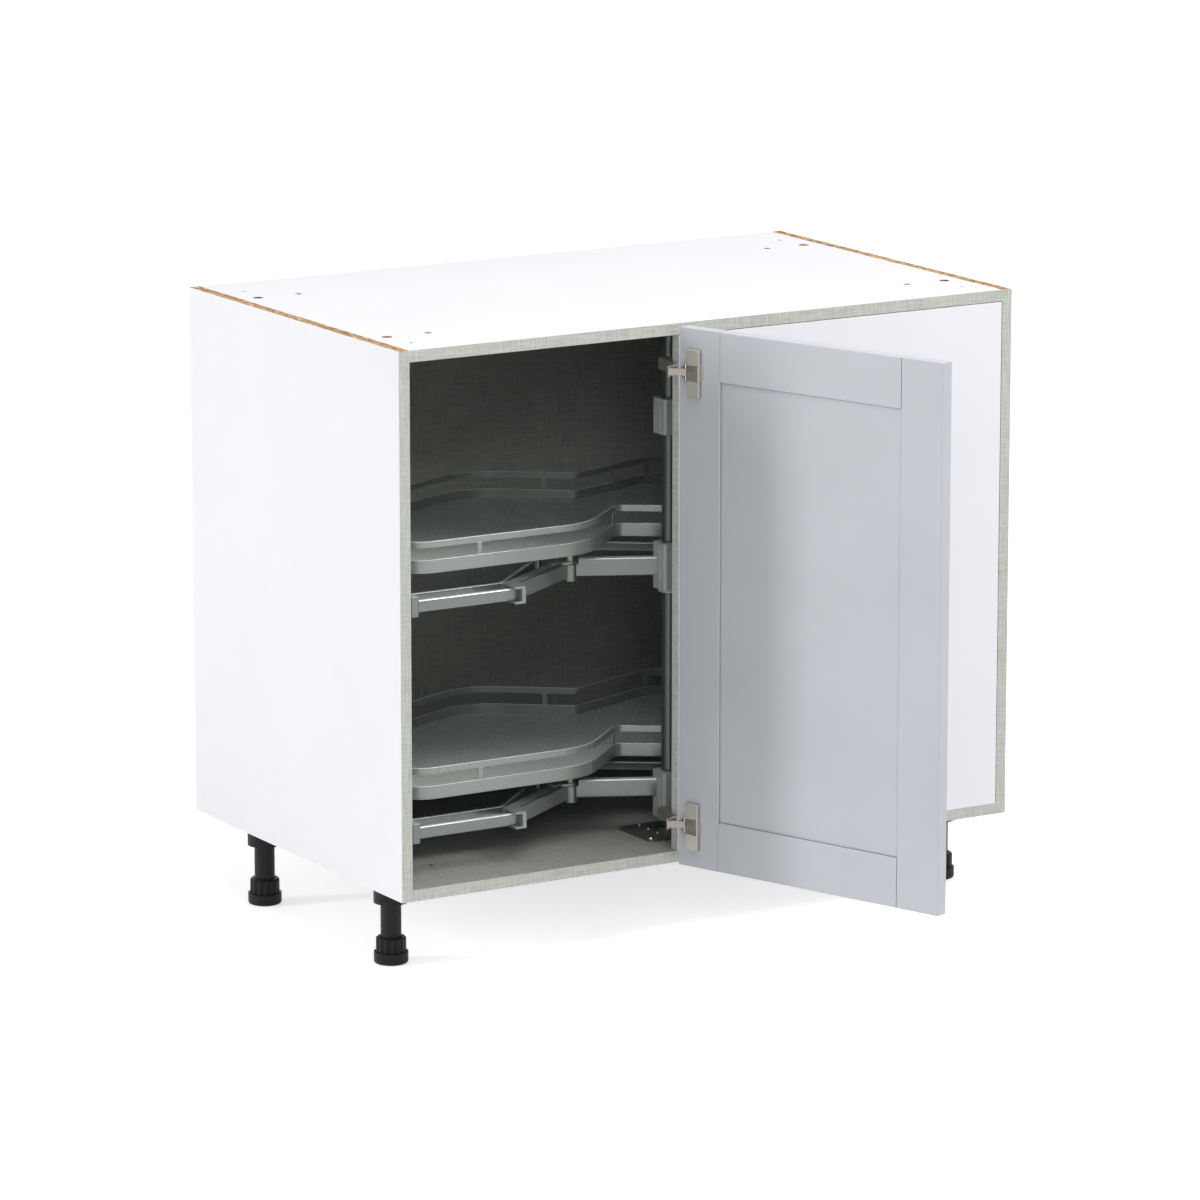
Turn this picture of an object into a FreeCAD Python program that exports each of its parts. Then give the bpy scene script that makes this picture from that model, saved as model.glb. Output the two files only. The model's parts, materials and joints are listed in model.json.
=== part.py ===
import FreeCAD, Part
import math
import os

# Blind corner base cabinet: a frameless box on four legs, a five-piece door on two cup hinges, and two
# swing-out trays on a pivot post. The sizes are in the box frame: origin at the carcass's front left bottom
# corner, +X right, +Y back, +Z up, in millimetres. export() moves each piece to the part's own frame, whose
# origin is on the floor under the middle of the whole object with the door open.
V = FreeCAD.Vector
UP = V(0, 0, 1)

# Carcass
cabinet_width = 990.6
cabinet_depth = 609.6
box_height = 762.0
board = 16.0
opening_width = 422.7
band = 1.0
blind_gap = 1.0
blind_bevel = 1.0
dowel_diameter = 8.0
dowel_length = 30.0
dowel_in_face = 10.0
dowel_inset = 60.0
dowel_clearance = 0.05

# Drilling in the top and bottom boards
fixing_hole = 15.0
fixing_depth = 11.0
fixing_screw_hole = 10.0
pilot_hole = 5.0
fixing_pitch = 63.5
pilot_offset_x = 7.0
pilot_offset_y = 55.0

# Legs
leg_height = 114.3
leg_inset_side = 42.0
leg_inset_front = 109.0
leg_inset_back = 129.6
socket_diameter = 48.0
socket_height = 28.0
socket_bore_depth = 20.0
peg_end_gap = 1.0
socket_plate = 4.0
socket_plate_width = 30.0
tube_diameter = 29.0
tube_wall = 2.5
collar_diameter = 42.0
collar_height = 21.0
collar_bevel = 2.0
pad_diameter = 48.0
pad_height = 16.3
pad_fillet = 4.0
pad_floor = 4.0
foot_clearance = 0.08
foot_seat_gap = 0.3
grip_count = 14
grip_radius = 1.6

# Door
door_gap = 2.0
door_reveal = 2.0
door_overlay = 9.8
door_thickness = 19.0
frame_width = 69.85
panel_front_recess = 6.0
panel_back_recess = 3.0
groove_depth = 10.0
tenon_shoulder = 0.2
door_edge_round = 0.8

# Cup hinges
hinge_inset_bottom = 60.0
hinge_inset_top = 63.5
cup_diameter = 35.0
cup_edge_distance = 3.8
cup_depth = 13.0
cup_wall = 0.8
cup_rim_width = 1.6
cup_rim_thickness = 1.2
wing_width = 20.0
wing_height = 66.0
wing_thickness = 2.4
wing_round = 0.7
wing_shift = 4.7
wing_screw_pitch = 48.0
wing_screw_diameter = 4.0
wing_screw_head = 8.0
wing_screw_length = 11.0
screw_clearance = 0.1
screw_head_share = 0.25
arm_pin_from_edge = 22.63
arm_pin_forward = 10.45
cup_pin_from_edge = 10.0
cup_pin_depth = 0.5
hinge_pin_diameter = 1.6
hinge_pin_clearance = 0.04
hinge_eye_radius = 2.1
link_radius = 1.6
link_half_height = 4.8
link_side_gap = 0.4
ear_thickness = 2.0
arm_sheet_radius = 1.5
arm_neck_gap = 2.7
arm_neck_start = 4.0
arm_body_reveal = 1.0
arm_body_length = 33.5
arm_body_width = 13.0
arm_body_half = 8.5
arm_rib_count = 5
arm_rib_pitch = 3.0
arm_rib_width = 1.2
arm_rib_depth = 0.6
arm_rib_start = 14.0
bracket_plate = 2.5
bracket_width = 38.0
bracket_height = 44.0
bracket_screw_pitch = 32.0
link_turn = 61.04
door_open_angle = 110.0

# Pivot post
post_offset = 44.0
post_setback = 94.0
post_diameter = 23.0
post_wall = 2.5
post_groove_depth = 0.6
post_groove_diameter = 2.4
post_groove_angles = (150.0, 210.0, 270.0)
plate_thickness = 3.0
plate_width = 106.0
plate_depth = 92.0
plate_shift_y = 10.0
plate_corner = 12.0
plate_boss_diameter = 31.0
plate_boss_height = 9.0
plate_hole_offset_x = 20.2
plate_hole_first_y = -2.0
plate_hole_pitch = 25.0
plate_hole_count = 3
plate_screw_diameter = 3.0
plate_screw_head = 5.0
plate_screw_length = 12.0
corner_screw_inset_x = 7.3
corner_screw_inset_y = 10.0
corner_screw_diameter = 5.0
corner_screw_head = 9.0
block_width = 38.0
block_depth = 34.0
block_round = 5.0
emboss_height = 1.0
emboss_width = 17.0
emboss_shift = 3.0
emboss_drop = 9.0
emboss_round = 6.0
clip_height = 50.0
clip_drop = 122.0
stop_ring_diameter = 32.0
stop_ring_height = 5.0
stop_gap = 0.2
bearing_clearance = 0.05

# Swing arms, measured from the post's axis
arm_length = 140.0
arm_angle = 154.0
arm_width = 14.0
arm_height = 26.0
arm_round = 2.5
arm_below_tray = 15.5
collar_below_arm = 19.0
collar_above_arm = 21.0
lower_collar_drop = 10.0
boss_diameter = 22.0
boss_below_arm = 6.0
boss_top_drop = 8.6
elbow_pin_diameter = 8.0
elbow_flange_diameter = 26.0
elbow_flange = 3.0

# Tray carriers
link_length = 159.8
link_angle = 213.4
link_width = 26.0
link_offset = 13.0
link_height = 19.8
link_slot_width = 6.0
link_slot_depth = 9.0
link_slot_inset = 4.0
link_slot_margin = 18.0
strap_thickness = 3.0
strap_width = 15.0
strap_length = 25.0
strap_turn = 45.0
strap_gap = 2.5
running_gap = 0.3
clamp_length = 18.0
clamp_depth = 30.0
clamp_wall = 3.5
clamp_end_wall = 6.5
clamp_height = 24.5
clamp_rise = 1.0
rail_thickness = 8.0
rail_height = 17.0
rail_round = 2.5
rail_spacing = 52.0
rear_rail_thickness = 6.0
rear_rail_height = 14.0
rear_rail_bend = 162.0
rear_rail_angle = 43.0
rear_rail_run = 175.0
riser_size = 13.0
end_fitting_from_wall = 34.0
end_fitting_length = 13.0
end_fitting_height = 28.0
end_fitting_overhang = 7.0
end_fitting_reach = 62.0
end_riser_run = 48.0
bearer_width = 8.0
bearer_height = 11.5
bearer_drop = 12.0
bearer_start = -40.0
bearer_length = 155.0
bearer_foot = 14.0
bearer_inset = 14.0

# Trays
lower_tray_height = 112.0
tray_spacing = 318.0
tray_left_gap = 43.0
tray_right_gap = 68.2
tray_setback = 97.0
tray_bend_angle = 42.0
front_notch_x = -33.0
front_notch_y = 91.0
rear_notch_x = 38.0
rear_notch_inset = 101.7
waist_run = 128.0
waist_angle = -34.0
left_shoulder_angle = 143.0
right_shoulder_angle = 20.0
tray_floor_thickness = 6.0
rim_thickness = 2.2
rim_band_height = 19.0
rim_gap = 17.0
rim_rail_height = 9.0
rim_rail_thickness = 3.4
rim_rail_round = 0.9
upright_width = 8.0
front_upright_from_wall = 163.0
notch_upright_run = 10.0
waist_upright_run = 102.0
left_shoulder_upright_run = 45.0
right_shoulder_upright_run = 156.0
left_arc_upright_angles = (130.0, 160.0)
right_arc_upright_angles = (10.0, 38.0)
tray_corner = 45.0
tray_bend_radius = 100.0
front_notch_radius = 14.0
waist_radius = 60.0
rear_notch_radius = 10.0
left_shoulder_radius = 85.0
right_shoulder_radius = 60.0
right_corner_radius = 70.0

# Places worked out from the sizes
blind_left = board + opening_width
post = V(blind_left + post_offset, post_setback, 0)
inner_right = cabinet_width - board
inner_back = cabinet_depth - board
inner_top = box_height - board
leg_places = {
    "front_left": V(leg_inset_side, leg_inset_front, 0),
    "front_right": V(cabinet_width - leg_inset_side, leg_inset_front, 0),
    "back_left": V(leg_inset_side, cabinet_depth - leg_inset_back, 0),
    "back_right": V(cabinet_width - leg_inset_side, cabinet_depth - leg_inset_back, 0),
}
hinge_heights = (hinge_inset_bottom, box_height - hinge_inset_top)
door_left = door_reveal
door_right = blind_left + door_overlay
door_height = box_height - 2 * door_reveal
arm_pin = V(blind_left - arm_pin_from_edge, -arm_pin_forward, 0)
cup_pin = V(door_right - cup_pin_from_edge, -door_gap - cup_pin_depth, 0)
door_turn = door_open_angle + link_turn
tray_heights = {"lower": lower_tray_height, "upper": lower_tray_height + tray_spacing}
left_lobe_radius = post.x - board - tray_left_gap
right_lobe_radius = inner_right - post.x - tray_right_gap
collar_drops = {"lower": lower_collar_drop, "upper": 0.0}
front_notch = post + V(front_notch_x, front_notch_y, 0)
rear_notch = post + V(rear_notch_x, right_lobe_radius - rear_notch_inset, 0)


def box(x0, y0, z0, x1, y1, z1):
    """A box between two corners."""
    return Part.makeBox(x1 - x0, y1 - y0, z1 - z0, V(x0, y0, z0))


def rod(place, diameter, z0, z1):
    """An upright cylinder over a place in plan."""
    return Part.makeCylinder(diameter / 2, z1 - z0, V(place.x, place.y, z0))


def ring(place, outer, inner, z0, z1):
    """An upright tube over a place in plan."""
    return rod(place, outer, z0, z1).cut(rod(place, inner, z0, z1))


def bar(start, end, width, z0, z1):
    """A flat-sided bar between two places in plan."""
    along = V(end.x - start.x, end.y - start.y, 0)
    side = V(-along.y, along.x, 0).normalize() * (width / 2)
    corners = [start - side, end - side, end + side, start + side]
    points = [V(c.x, c.y, z0) for c in corners]
    return Part.Face(Part.makePolygon(points + points[:1])).extrude(V(0, 0, z1 - z0))


def capsule(start, end, radius, z0, z1):
    """A bar with round ends between two places in plan."""
    ends = rod(start, 2 * radius, z0, z1).fuse(rod(end, 2 * radius, z0, z1))
    return bar(start, end, 2 * radius, z0, z1).fuse(ends).removeSplitter()


def toward(place, angle, distance):
    """The place at a distance from another, at an angle in plan."""
    a = math.radians(angle)
    return place + V(distance * math.cos(a), distance * math.sin(a), 0)


elbow = toward(post, arm_angle, arm_length)
clamp = toward(elbow, link_angle, link_length)


def upright_edges(shape):
    """The edges that run straight up."""
    return [e for e in shape.Edges if abs(e.tangentAt(e.FirstParameter).z) > 0.999]


def edges_at(shape, z):
    """The level edges at a height."""
    return [e for e in shape.Edges
            if abs(e.BoundBox.ZMin - z) < 1e-6 and abs(e.BoundBox.ZMax - z) < 1e-6]


def level_edges_along_x(shape, z):
    """The straight edges along X at a height."""
    return [e for e in edges_at(shape, z) if abs(e.tangentAt(e.FirstParameter).x) > 0.999]


def together(shapes):
    """Separate solids kept as one group."""
    return Part.makeCompound(list(shapes))


def dowel_lines():
    """The start and direction of every dowel: side joints, then the blind panel's ends."""
    lines = []
    middle = cabinet_depth / 2
    for y in (dowel_inset, middle, cabinet_depth - dowel_inset - board):
        for z in (board / 2, box_height - board / 2):
            lines.append((V(board - dowel_in_face, y, z), V(1, 0, 0)))
            lines.append((V(inner_right + dowel_in_face, y, z), V(-1, 0, 0)))
    blind_span = inner_right - blind_left
    for x in (blind_left + dowel_inset, blind_left + blind_span / 2, inner_right - dowel_inset):
        lines.append((V(x, board / 2, board - dowel_in_face), V(0, 0, 1)))
        lines.append((V(x, board / 2, inner_top + dowel_in_face), V(0, 0, -1)))
    return lines


def dowels(clearance):
    """All dowels, or with a clearance the holes that take them."""
    radius = dowel_diameter / 2 + clearance
    length = dowel_length + clearance
    return [Part.makeCylinder(radius, length, start, along) for start, along in dowel_lines()]


def fixing_holes(top_face, downward):
    """The drilling that the top and bottom boards share, from one face."""
    cuts = []
    for name, place in leg_places.items():
        inward = 1 if "left" in name else -1
        outward = -1 if "front" in name else 1
        cuts.append((place, fixing_hole, fixing_depth))
        cuts.append((place + V(inward * fixing_pitch, 0, 0), fixing_screw_hole, board))
        pilot = place + V(inward * pilot_offset_x, outward * pilot_offset_y, 0)
        cuts.append((pilot, pilot_hole, fixing_depth))
    direction = V(0, 0, -1) if downward else UP
    return [Part.makeCylinder(d / 2, depth, V(p.x, p.y, top_face), direction)
            for p, d, depth in cuts]


def carcass():
    """The boards, their edge banding and their dowels."""
    holes = dowels(dowel_clearance)
    left = box(0, band, 0, board, cabinet_depth, box_height).cut(holes)
    right = box(inner_right, band, 0, cabinet_width, cabinet_depth, box_height).cut(holes)
    top = box(board, band, inner_top, inner_right, cabinet_depth, box_height)
    bottom = box(board, band, 0, inner_right, cabinet_depth, board)
    back = box(board, inner_back, board, inner_right, cabinet_depth, inner_top)
    blind = box(blind_left + band, 0, board, inner_right - blind_gap, board, inner_top - blind_gap)
    blind_top_edges = level_edges_along_x(blind, inner_top - blind_gap)
    front_top = [e for e in blind_top_edges if e.BoundBox.YMax < board / 2]
    blind = blind.makeChamfer(blind_bevel, front_top)
    bands = together([
        box(0, 0, 0, board, band, box_height),
        box(inner_right, 0, 0, cabinet_width, band, box_height),
        box(board, 0, inner_top, inner_right, band, box_height),
        box(board, 0, 0, inner_right, band, board),
    ])
    return {
        "side_panel_left": left,
        "side_panel_right": right,
        "top_panel": top.cut(holes + fixing_holes(box_height, True)),
        "bottom_panel": bottom.cut(holes + fixing_holes(0, False)),
        "back_panel": back,
        "blind_panel": blind.cut(holes),
        "carcass_edge_bands": bands,
        "blind_edge_band": box(blind_left, 0, board, blind_left + band, board, inner_top - blind_gap),
        "board_dowels": together(dowels(0)),
    }


def leg_socket(place, inward):
    """A leg's socket under the box, with the peg and the plate that hold it."""
    body = rod(place, socket_diameter, -socket_height, 0)
    half = socket_plate_width / 2
    tip = place + V(inward * (fixing_pitch + half / 2), 0, 0)
    body = body.fuse(bar(place, tip, socket_plate_width, -socket_plate, 0))
    body = body.fuse(rod(place, fixing_hole - 2 * dowel_clearance, 0, fixing_depth - peg_end_gap))
    body = body.cut(rod(place, tube_diameter, -socket_height, -socket_height + socket_bore_depth))
    screw = place + V(inward * fixing_pitch, 0, 0)
    return body.cut(rod(screw, fixing_screw_hole, -socket_plate, 0)).removeSplitter()


def leg_tube(place):
    """A leg's tube, from its socket down into the foot."""
    low = -leg_height + pad_floor + foot_seat_gap
    high = -socket_height + socket_bore_depth
    return ring(place, tube_diameter, tube_diameter - 2 * tube_wall, low, high)


def levelling_foot(place):
    """A foot with its ribbed collar, bored to slide on the leg's tube."""
    floor = -leg_height
    collar_low = floor + pad_height
    collar_top = collar_low + collar_height
    pad = rod(place, pad_diameter, floor, collar_low)
    pad = pad.makeFillet(pad_fillet, edges_at(pad, floor))
    collar = rod(place, collar_diameter, collar_low, collar_top)
    collar = collar.makeChamfer(collar_bevel, edges_at(collar, collar_top))
    step = 360.0 / grip_count
    grips = [rod(toward(place, i * step, collar_diameter / 2), 2 * grip_radius, collar_low, collar_top)
             for i in range(grip_count)]
    foot = pad.fuse(collar.cut(grips))
    bore = rod(place, tube_diameter + 2 * foot_clearance, floor + pad_floor, collar_top)
    return foot.cut(bore).removeSplitter()


def legs():
    """The four legs."""
    nodes = {
        "leg_sockets": together(leg_socket(p, 1 if "left" in n else -1) for n, p in leg_places.items()),
        "leg_tubes": together(leg_tube(p) for p in leg_places.values()),
    }
    for name, place in leg_places.items():
        nodes["foot_" + name] = levelling_foot(place)
    return nodes


def cup_place(z):
    """The middle of a hinge cup's mouth on the closed door's inner face."""
    return V(door_right - cup_edge_distance - cup_diameter / 2, -door_gap, z)


def wing_screw_places():
    """Where the cup screws go in, on the closed door's inner face."""
    places = []
    for z in hinge_heights:
        middle = cup_place(z) - V(wing_shift, 0, 0)
        places += [middle + V(0, 0, s * wing_screw_pitch / 2) for s in (-1, 1)]
    return places


def forward_rod(place, diameter, depth):
    """A cylinder that runs forward from a place on the closed door's inner face."""
    return Part.makeCylinder(diameter / 2, depth, place, V(0, -1, 0))


def closed_door():
    """The door's five pieces, as it stands closed."""
    y_in = -door_gap
    y_out = y_in - door_thickness
    z0 = door_reveal
    z1 = z0 + door_height
    free_inner = door_left + frame_width
    hinge_inner = door_right - frame_width
    groove_in = y_in - panel_back_recess
    groove_out = y_out + panel_front_recess
    groove = box(free_inner - groove_depth, groove_out, z0 + frame_width - groove_depth,
                 hinge_inner + groove_depth, groove_in, z1 - frame_width + groove_depth)
    tenons = box(free_inner - groove_depth, groove_out, z0, hinge_inner + groove_depth, groove_in, z1)
    bores = [forward_rod(cup_place(z), cup_diameter, cup_depth) for z in hinge_heights]
    bores += [forward_rod(p, wing_screw_diameter, wing_screw_length) for p in wing_screw_places()]
    free_stile = box(door_left, y_out, z0, free_inner, y_in, z1)
    hinge_stile = box(hinge_inner, y_out, z0, door_right, y_in, z1)
    free_stile = free_stile.makeChamfer(door_edge_round, upright_edges(free_stile))
    hinge_stile = hinge_stile.makeChamfer(door_edge_round, upright_edges(hinge_stile))
    rails = {}
    for name, low in (("bottom", z0), ("top", z1 - frame_width)):
        body = box(free_inner, y_out, low, hinge_inner, y_in, low + frame_width)
        body = body.makeChamfer(door_edge_round, level_edges_along_x(body, low))
        body = body.makeChamfer(door_edge_round, level_edges_along_x(body, low + frame_width))
        tenon = box(free_inner - groove_depth + tenon_shoulder, groove_out, low,
                    hinge_inner + groove_depth - tenon_shoulder, groove_in, low + frame_width)
        rails["door_rail_" + name] = body.fuse(tenon).cut(groove).removeSplitter()
    seat = groove_depth - tenon_shoulder
    panel = box(free_inner - seat, groove_out, z0 + frame_width - seat,
                hinge_inner + seat, groove_in, z1 - frame_width + seat)
    return {
        "door_stile_free": free_stile.cut(tenons),
        "door_stile_hinge": hinge_stile.cut([tenons] + bores),
        "door_panel": panel,
        **rails,
    }


def cup_pin_half():
    """Half the length of a cup pin, which ends in the cup's round wall."""
    off_middle = cup_edge_distance + cup_diameter / 2 - cup_pin_from_edge
    reach = off_middle + hinge_pin_diameter / 2
    return math.sqrt((cup_diameter / 2 - cup_wall / 2) ** 2 - reach ** 2)


def arm_half():
    """Half the height of a hinge arm over its two ears."""
    return link_half_height + link_side_gap + ear_thickness


def hinge_cup(z):
    """A pressed cup with its wing plate, on the closed door; the arm and link come out of its open rim."""
    mouth = cup_place(z)
    shell = forward_rod(mouth, cup_diameter, cup_depth)
    wing = box(mouth.x - wing_shift - wing_width / 2, mouth.y, z - wing_height / 2,
               mouth.x - wing_shift + wing_width / 2, mouth.y + wing_thickness, z + wing_height / 2)
    wing_edges = [e for e in wing.Edges if e.BoundBox.YMin > mouth.y + wing_thickness / 2]
    wing = wing.makeFillet(wing_round, wing_edges)
    rim_diameter = cup_diameter + 2 * cup_rim_width
    rim = forward_rod(mouth + V(0, cup_rim_thickness, 0), rim_diameter, cup_rim_thickness)
    pocket = forward_rod(mouth + V(0, wing_thickness, 0), cup_diameter - 2 * cup_wall,
                         cup_depth + wing_thickness - cup_wall)
    half = arm_half() + link_side_gap
    mouth_slot = box(cup_pin.x, mouth.y, z - half, mouth.x + cup_diameter / 2 + cup_rim_width,
                     mouth.y + cup_rim_thickness, z + half)
    holes = [forward_rod(p + V(0, wing_thickness, 0), wing_screw_diameter, wing_thickness)
             for p in wing_screw_places()]
    pin_hole = hinge_pin(cup_pin, z, cup_pin_half())
    return shell.fuse([wing, rim]).cut([pocket, mouth_slot, pin_hole] + holes).removeSplitter()


def hinge_pin(place, z, half):
    """A hinge pin of a half length either way from a hinge's middle."""
    return rod(place, hinge_pin_diameter, z - half, z + half)


def hinge_link(z):
    """The link between the two pins, as it lies with the door closed."""
    body = capsule(arm_pin, cup_pin, link_radius, z - link_half_height, z + link_half_height)
    bore = hinge_pin_diameter + 2 * hinge_pin_clearance
    holes = [rod(p, bore, z - link_half_height, z + link_half_height) for p in (arm_pin, cup_pin)]
    return body.cut(holes)


def hinge_arm(z):
    """The cranked arm: body behind the blind panel, neck round its edge, two ears for the arm pin."""
    outer = arm_half()
    inner = outer - ear_thickness
    neck_x = blind_left - arm_neck_gap - arm_sheet_radius
    knee = V(neck_x, 0, 0)
    heel = V(neck_x, arm_neck_start + arm_sheet_radius, 0)
    y0 = board + bracket_plate
    low = z - arm_body_half
    high = z + arm_body_half
    neck = box(neck_x - arm_sheet_radius, arm_neck_start, low, neck_x + arm_sheet_radius, y0, high)
    ears = []
    for ear_low, ear_high in ((z - outer, z - inner), (z + inner, z + outer)):
        ears.append(capsule(arm_pin, knee, arm_sheet_radius, ear_low, ear_high))
        ears.append(capsule(knee, heel, arm_sheet_radius, ear_low, ear_high))
        ears.append(rod(arm_pin, 2 * hinge_eye_radius, ear_low, ear_high))
    turn = box(neck_x - arm_sheet_radius, y0, low, blind_left, y0 + 2 * arm_sheet_radius, high)
    body = box(blind_left - arm_body_reveal, y0, low,
               blind_left + arm_body_width, y0 + arm_body_length, high)
    ribs = []
    for i in range(arm_rib_count):
        y = y0 + arm_rib_start + i * arm_rib_pitch
        ribs.append(box(blind_left - arm_body_reveal, y, high - arm_rib_depth, blind_left + arm_body_width,
                        y + arm_rib_width, high))
    shape = neck.fuse(ears + [turn, body])
    return shape.cut(ribs + [hinge_pin(arm_pin, z, outer)]).removeSplitter()


def bracket_screw_places(z):
    """Where a hinge bracket's screws enter the back of the blind panel."""
    x = blind_left + arm_body_width + (bracket_width - arm_body_width) / 2
    return [V(x, board + bracket_plate, z + s * bracket_screw_pitch / 2) for s in (-1, 1)]


def hinge_bracket(z):
    """The plate on the back of the blind panel that carries a hinge arm."""
    plate = box(blind_left + band, board, z - bracket_height / 2,
                blind_left + bracket_width, board + bracket_plate, z + bracket_height / 2)
    holes = [forward_rod(p, wing_screw_diameter, bracket_plate) for p in bracket_screw_places(z)]
    return plate.cut(holes)


def wood_screw(place, direction, diameter, head, length):
    """A pan-head screw whose head seats on a place and whose shank runs along a direction."""
    shank = Part.makeCylinder(diameter / 2 - screw_clearance, length, place, direction)
    height = head * screw_head_share
    cap = Part.makeCylinder(head / 2, height, place - direction * height, direction)
    return cap.fuse(shank).removeSplitter()


def opened_link(shape):
    """A link's shape turned from the closed to the open door."""
    return shape.rotated(arm_pin, UP, -link_turn)


def opened_door(shape):
    """A door piece turned from closed to open: about the cup pin, then with the link."""
    return shape.rotated(cup_pin, UP, door_turn).rotated(arm_pin, UP, -link_turn)


def door_and_hinges():
    """The open door with its hinges."""
    screws = [wood_screw(p + V(0, wing_thickness, 0), V(0, -1, 0), wing_screw_diameter, wing_screw_head,
                         wing_screw_length) for p in wing_screw_places()]
    cup_pins = [hinge_pin(cup_pin, z, cup_pin_half()) for z in hinge_heights]
    nodes = {name: opened_door(shape) for name, shape in closed_door().items()}
    nodes["hinge_cups"] = opened_door(together(hinge_cup(z) for z in hinge_heights))
    nodes["hinge_cup_pins"] = opened_door(together(cup_pins))
    nodes["hinge_cup_screws"] = opened_door(together(screws))
    nodes["hinge_links"] = opened_link(together(hinge_link(z) for z in hinge_heights))
    nodes["hinge_arms"] = together(hinge_arm(z) for z in hinge_heights)
    nodes["hinge_arm_pins"] = together(hinge_pin(arm_pin, z, arm_half()) for z in hinge_heights)
    nodes["hinge_brackets"] = together(hinge_bracket(z) for z in hinge_heights)
    nodes["hinge_bracket_screws"] = together(
        wood_screw(p, V(0, -1, 0), wing_screw_diameter, wing_screw_head, wing_screw_length)
        for z in hinge_heights for p in bracket_screw_places(z))
    return nodes


def plate_screws(face, direction):
    """A post plate's screws as place, diameter and head: small ones beside the post, two in front."""
    z = face + direction * plate_thickness
    front = post.y + plate_shift_y - plate_depth / 2 + corner_screw_inset_y
    screws = []
    for side in (-1, 1):
        for i in range(plate_hole_count):
            y = post.y + plate_hole_first_y + i * plate_hole_pitch
            place = V(post.x + side * plate_hole_offset_x, y, z)
            screws.append((place, plate_screw_diameter, plate_screw_head))
        corner = V(post.x + side * (plate_width / 2 - corner_screw_inset_x), front, z)
        screws.append((corner, corner_screw_diameter, corner_screw_head))
    return screws


def plate_screw_holes(face, direction):
    """The holes of a post plate's screws, through the plate and into its board."""
    into = V(0, 0, -direction)
    return [Part.makeCylinder(d / 2, plate_screw_length, p, into)
            for p, d, head in plate_screws(face, direction)]


def post_plate(face, direction):
    """A flanged plate that holds one end of the post; its face lies against a board."""
    z0, z1 = sorted((face, face + direction * plate_thickness))
    middle_y = post.y + plate_shift_y
    plate = box(post.x - plate_width / 2, middle_y - plate_depth / 2, z0,
                post.x + plate_width / 2, middle_y + plate_depth / 2, z1)
    plate = plate.makeFillet(plate_corner, upright_edges(plate))
    b0, b1 = sorted((face, face + direction * plate_boss_height))
    t0, t1 = sorted((face + direction * plate_thickness, face + direction * plate_boss_height))
    plate = plate.cut(plate_screw_holes(face, direction)).fuse(rod(post, plate_boss_diameter, b0, b1))
    return plate.cut(rod(post, post_diameter, t0, t1)).removeSplitter()


def post_block(z0, z1, bore):
    """A rounded block round the post, with a raised arch on its left face."""
    left = post.x - block_width / 2
    block = box(left, post.y - block_depth / 2, z0,
                post.x + block_width / 2, post.y + block_depth / 2, z1)
    block = block.makeFillet(block_round, upright_edges(block))
    middle = post.y + emboss_shift
    arch_top = z1 - emboss_drop
    arch = box(left - emboss_height, middle - emboss_width / 2, z0,
               left + block_round, middle + emboss_width / 2, arch_top)
    arch = arch.makeFillet(emboss_round, level_edges_along_x(arch, arch_top))
    return block.fuse(arch).cut(rod(post, bore, z0, z1)).removeSplitter()


def collar_span(level):
    """The lowest and highest points of an arm's collar."""
    top = tray_heights[level] - arm_below_tray
    drop = collar_drops[level]
    return top - arm_height - collar_below_arm - drop, top + collar_above_arm - drop


def pivot_post():
    """The post between its two plates, with its clip and the rings that carry the arm collars."""
    low = board + plate_thickness
    high = inner_top - plate_thickness
    tube = ring(post, post_diameter, post_diameter - 2 * post_wall, low, high)
    groove_places = [toward(post, a, post_diameter / 2 + post_groove_depth) for a in post_groove_angles]
    grooves = [rod(p, post_groove_diameter, board + plate_boss_height, inner_top - plate_boss_height)
               for p in groove_places]
    clip_top = box_height - clip_drop
    rings = []
    for level in tray_heights:
        top = collar_span(level)[0] - stop_gap
        rings.append(ring(post, stop_ring_diameter, post_diameter, top - stop_ring_height, top))
    screws = []
    for face, direction in ((board, 1), (inner_top, -1)):
        for place, diameter, head in plate_screws(face, direction):
            screws.append(wood_screw(place, V(0, 0, -direction), diameter, head, plate_screw_length))
    return {
        "pivot_post": tube.cut(grooves),
        "post_foot_plate": post_plate(board, 1),
        "post_top_plate": post_plate(inner_top, -1),
        "post_clip": post_block(clip_top - clip_height, clip_top, post_diameter),
        "arm_stop_rings": together(rings),
        "post_plate_screws": together(screws),
    }


def screw_holes_in_boards():
    """The screws' holes in the boards that they enter."""
    behind = [forward_rod(p, wing_screw_diameter, wing_screw_length)
              for z in hinge_heights for p in bracket_screw_places(z)]
    return {
        "bottom_panel": plate_screw_holes(board, 1),
        "top_panel": plate_screw_holes(inner_top, -1),
        "blind_panel": behind,
    }


def swing_arm(level):
    """An arm's collar on the post and the bar with its elbow boss."""
    top = tray_heights[level] - arm_below_tray
    low = top - arm_height
    boss_top = top - boss_top_drop
    start = toward(post, arm_angle, post_diameter / 2 + arm_round)
    body = bar(start, elbow, arm_width, low, top)
    long_edges = [e for e in edges_at(body, top) + edges_at(body, low) if e.Length > 2 * arm_width]
    body = body.makeFillet(arm_round, long_edges)
    collar_low, collar_top = collar_span(level)
    collar = post_block(collar_low, collar_top, post_diameter + 2 * bearing_clearance).cut(body)
    body = body.cut(rod(elbow, boss_diameter + 2 * strap_gap, boss_top, top))
    body = body.fuse(rod(elbow, boss_diameter, low - boss_below_arm, boss_top))
    body = body.cut(rod(elbow, elbow_pin_diameter + 2 * bearing_clearance, low - boss_below_arm, boss_top))
    return {"arm_collar": collar, "swing_arm": body.removeSplitter()}


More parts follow.
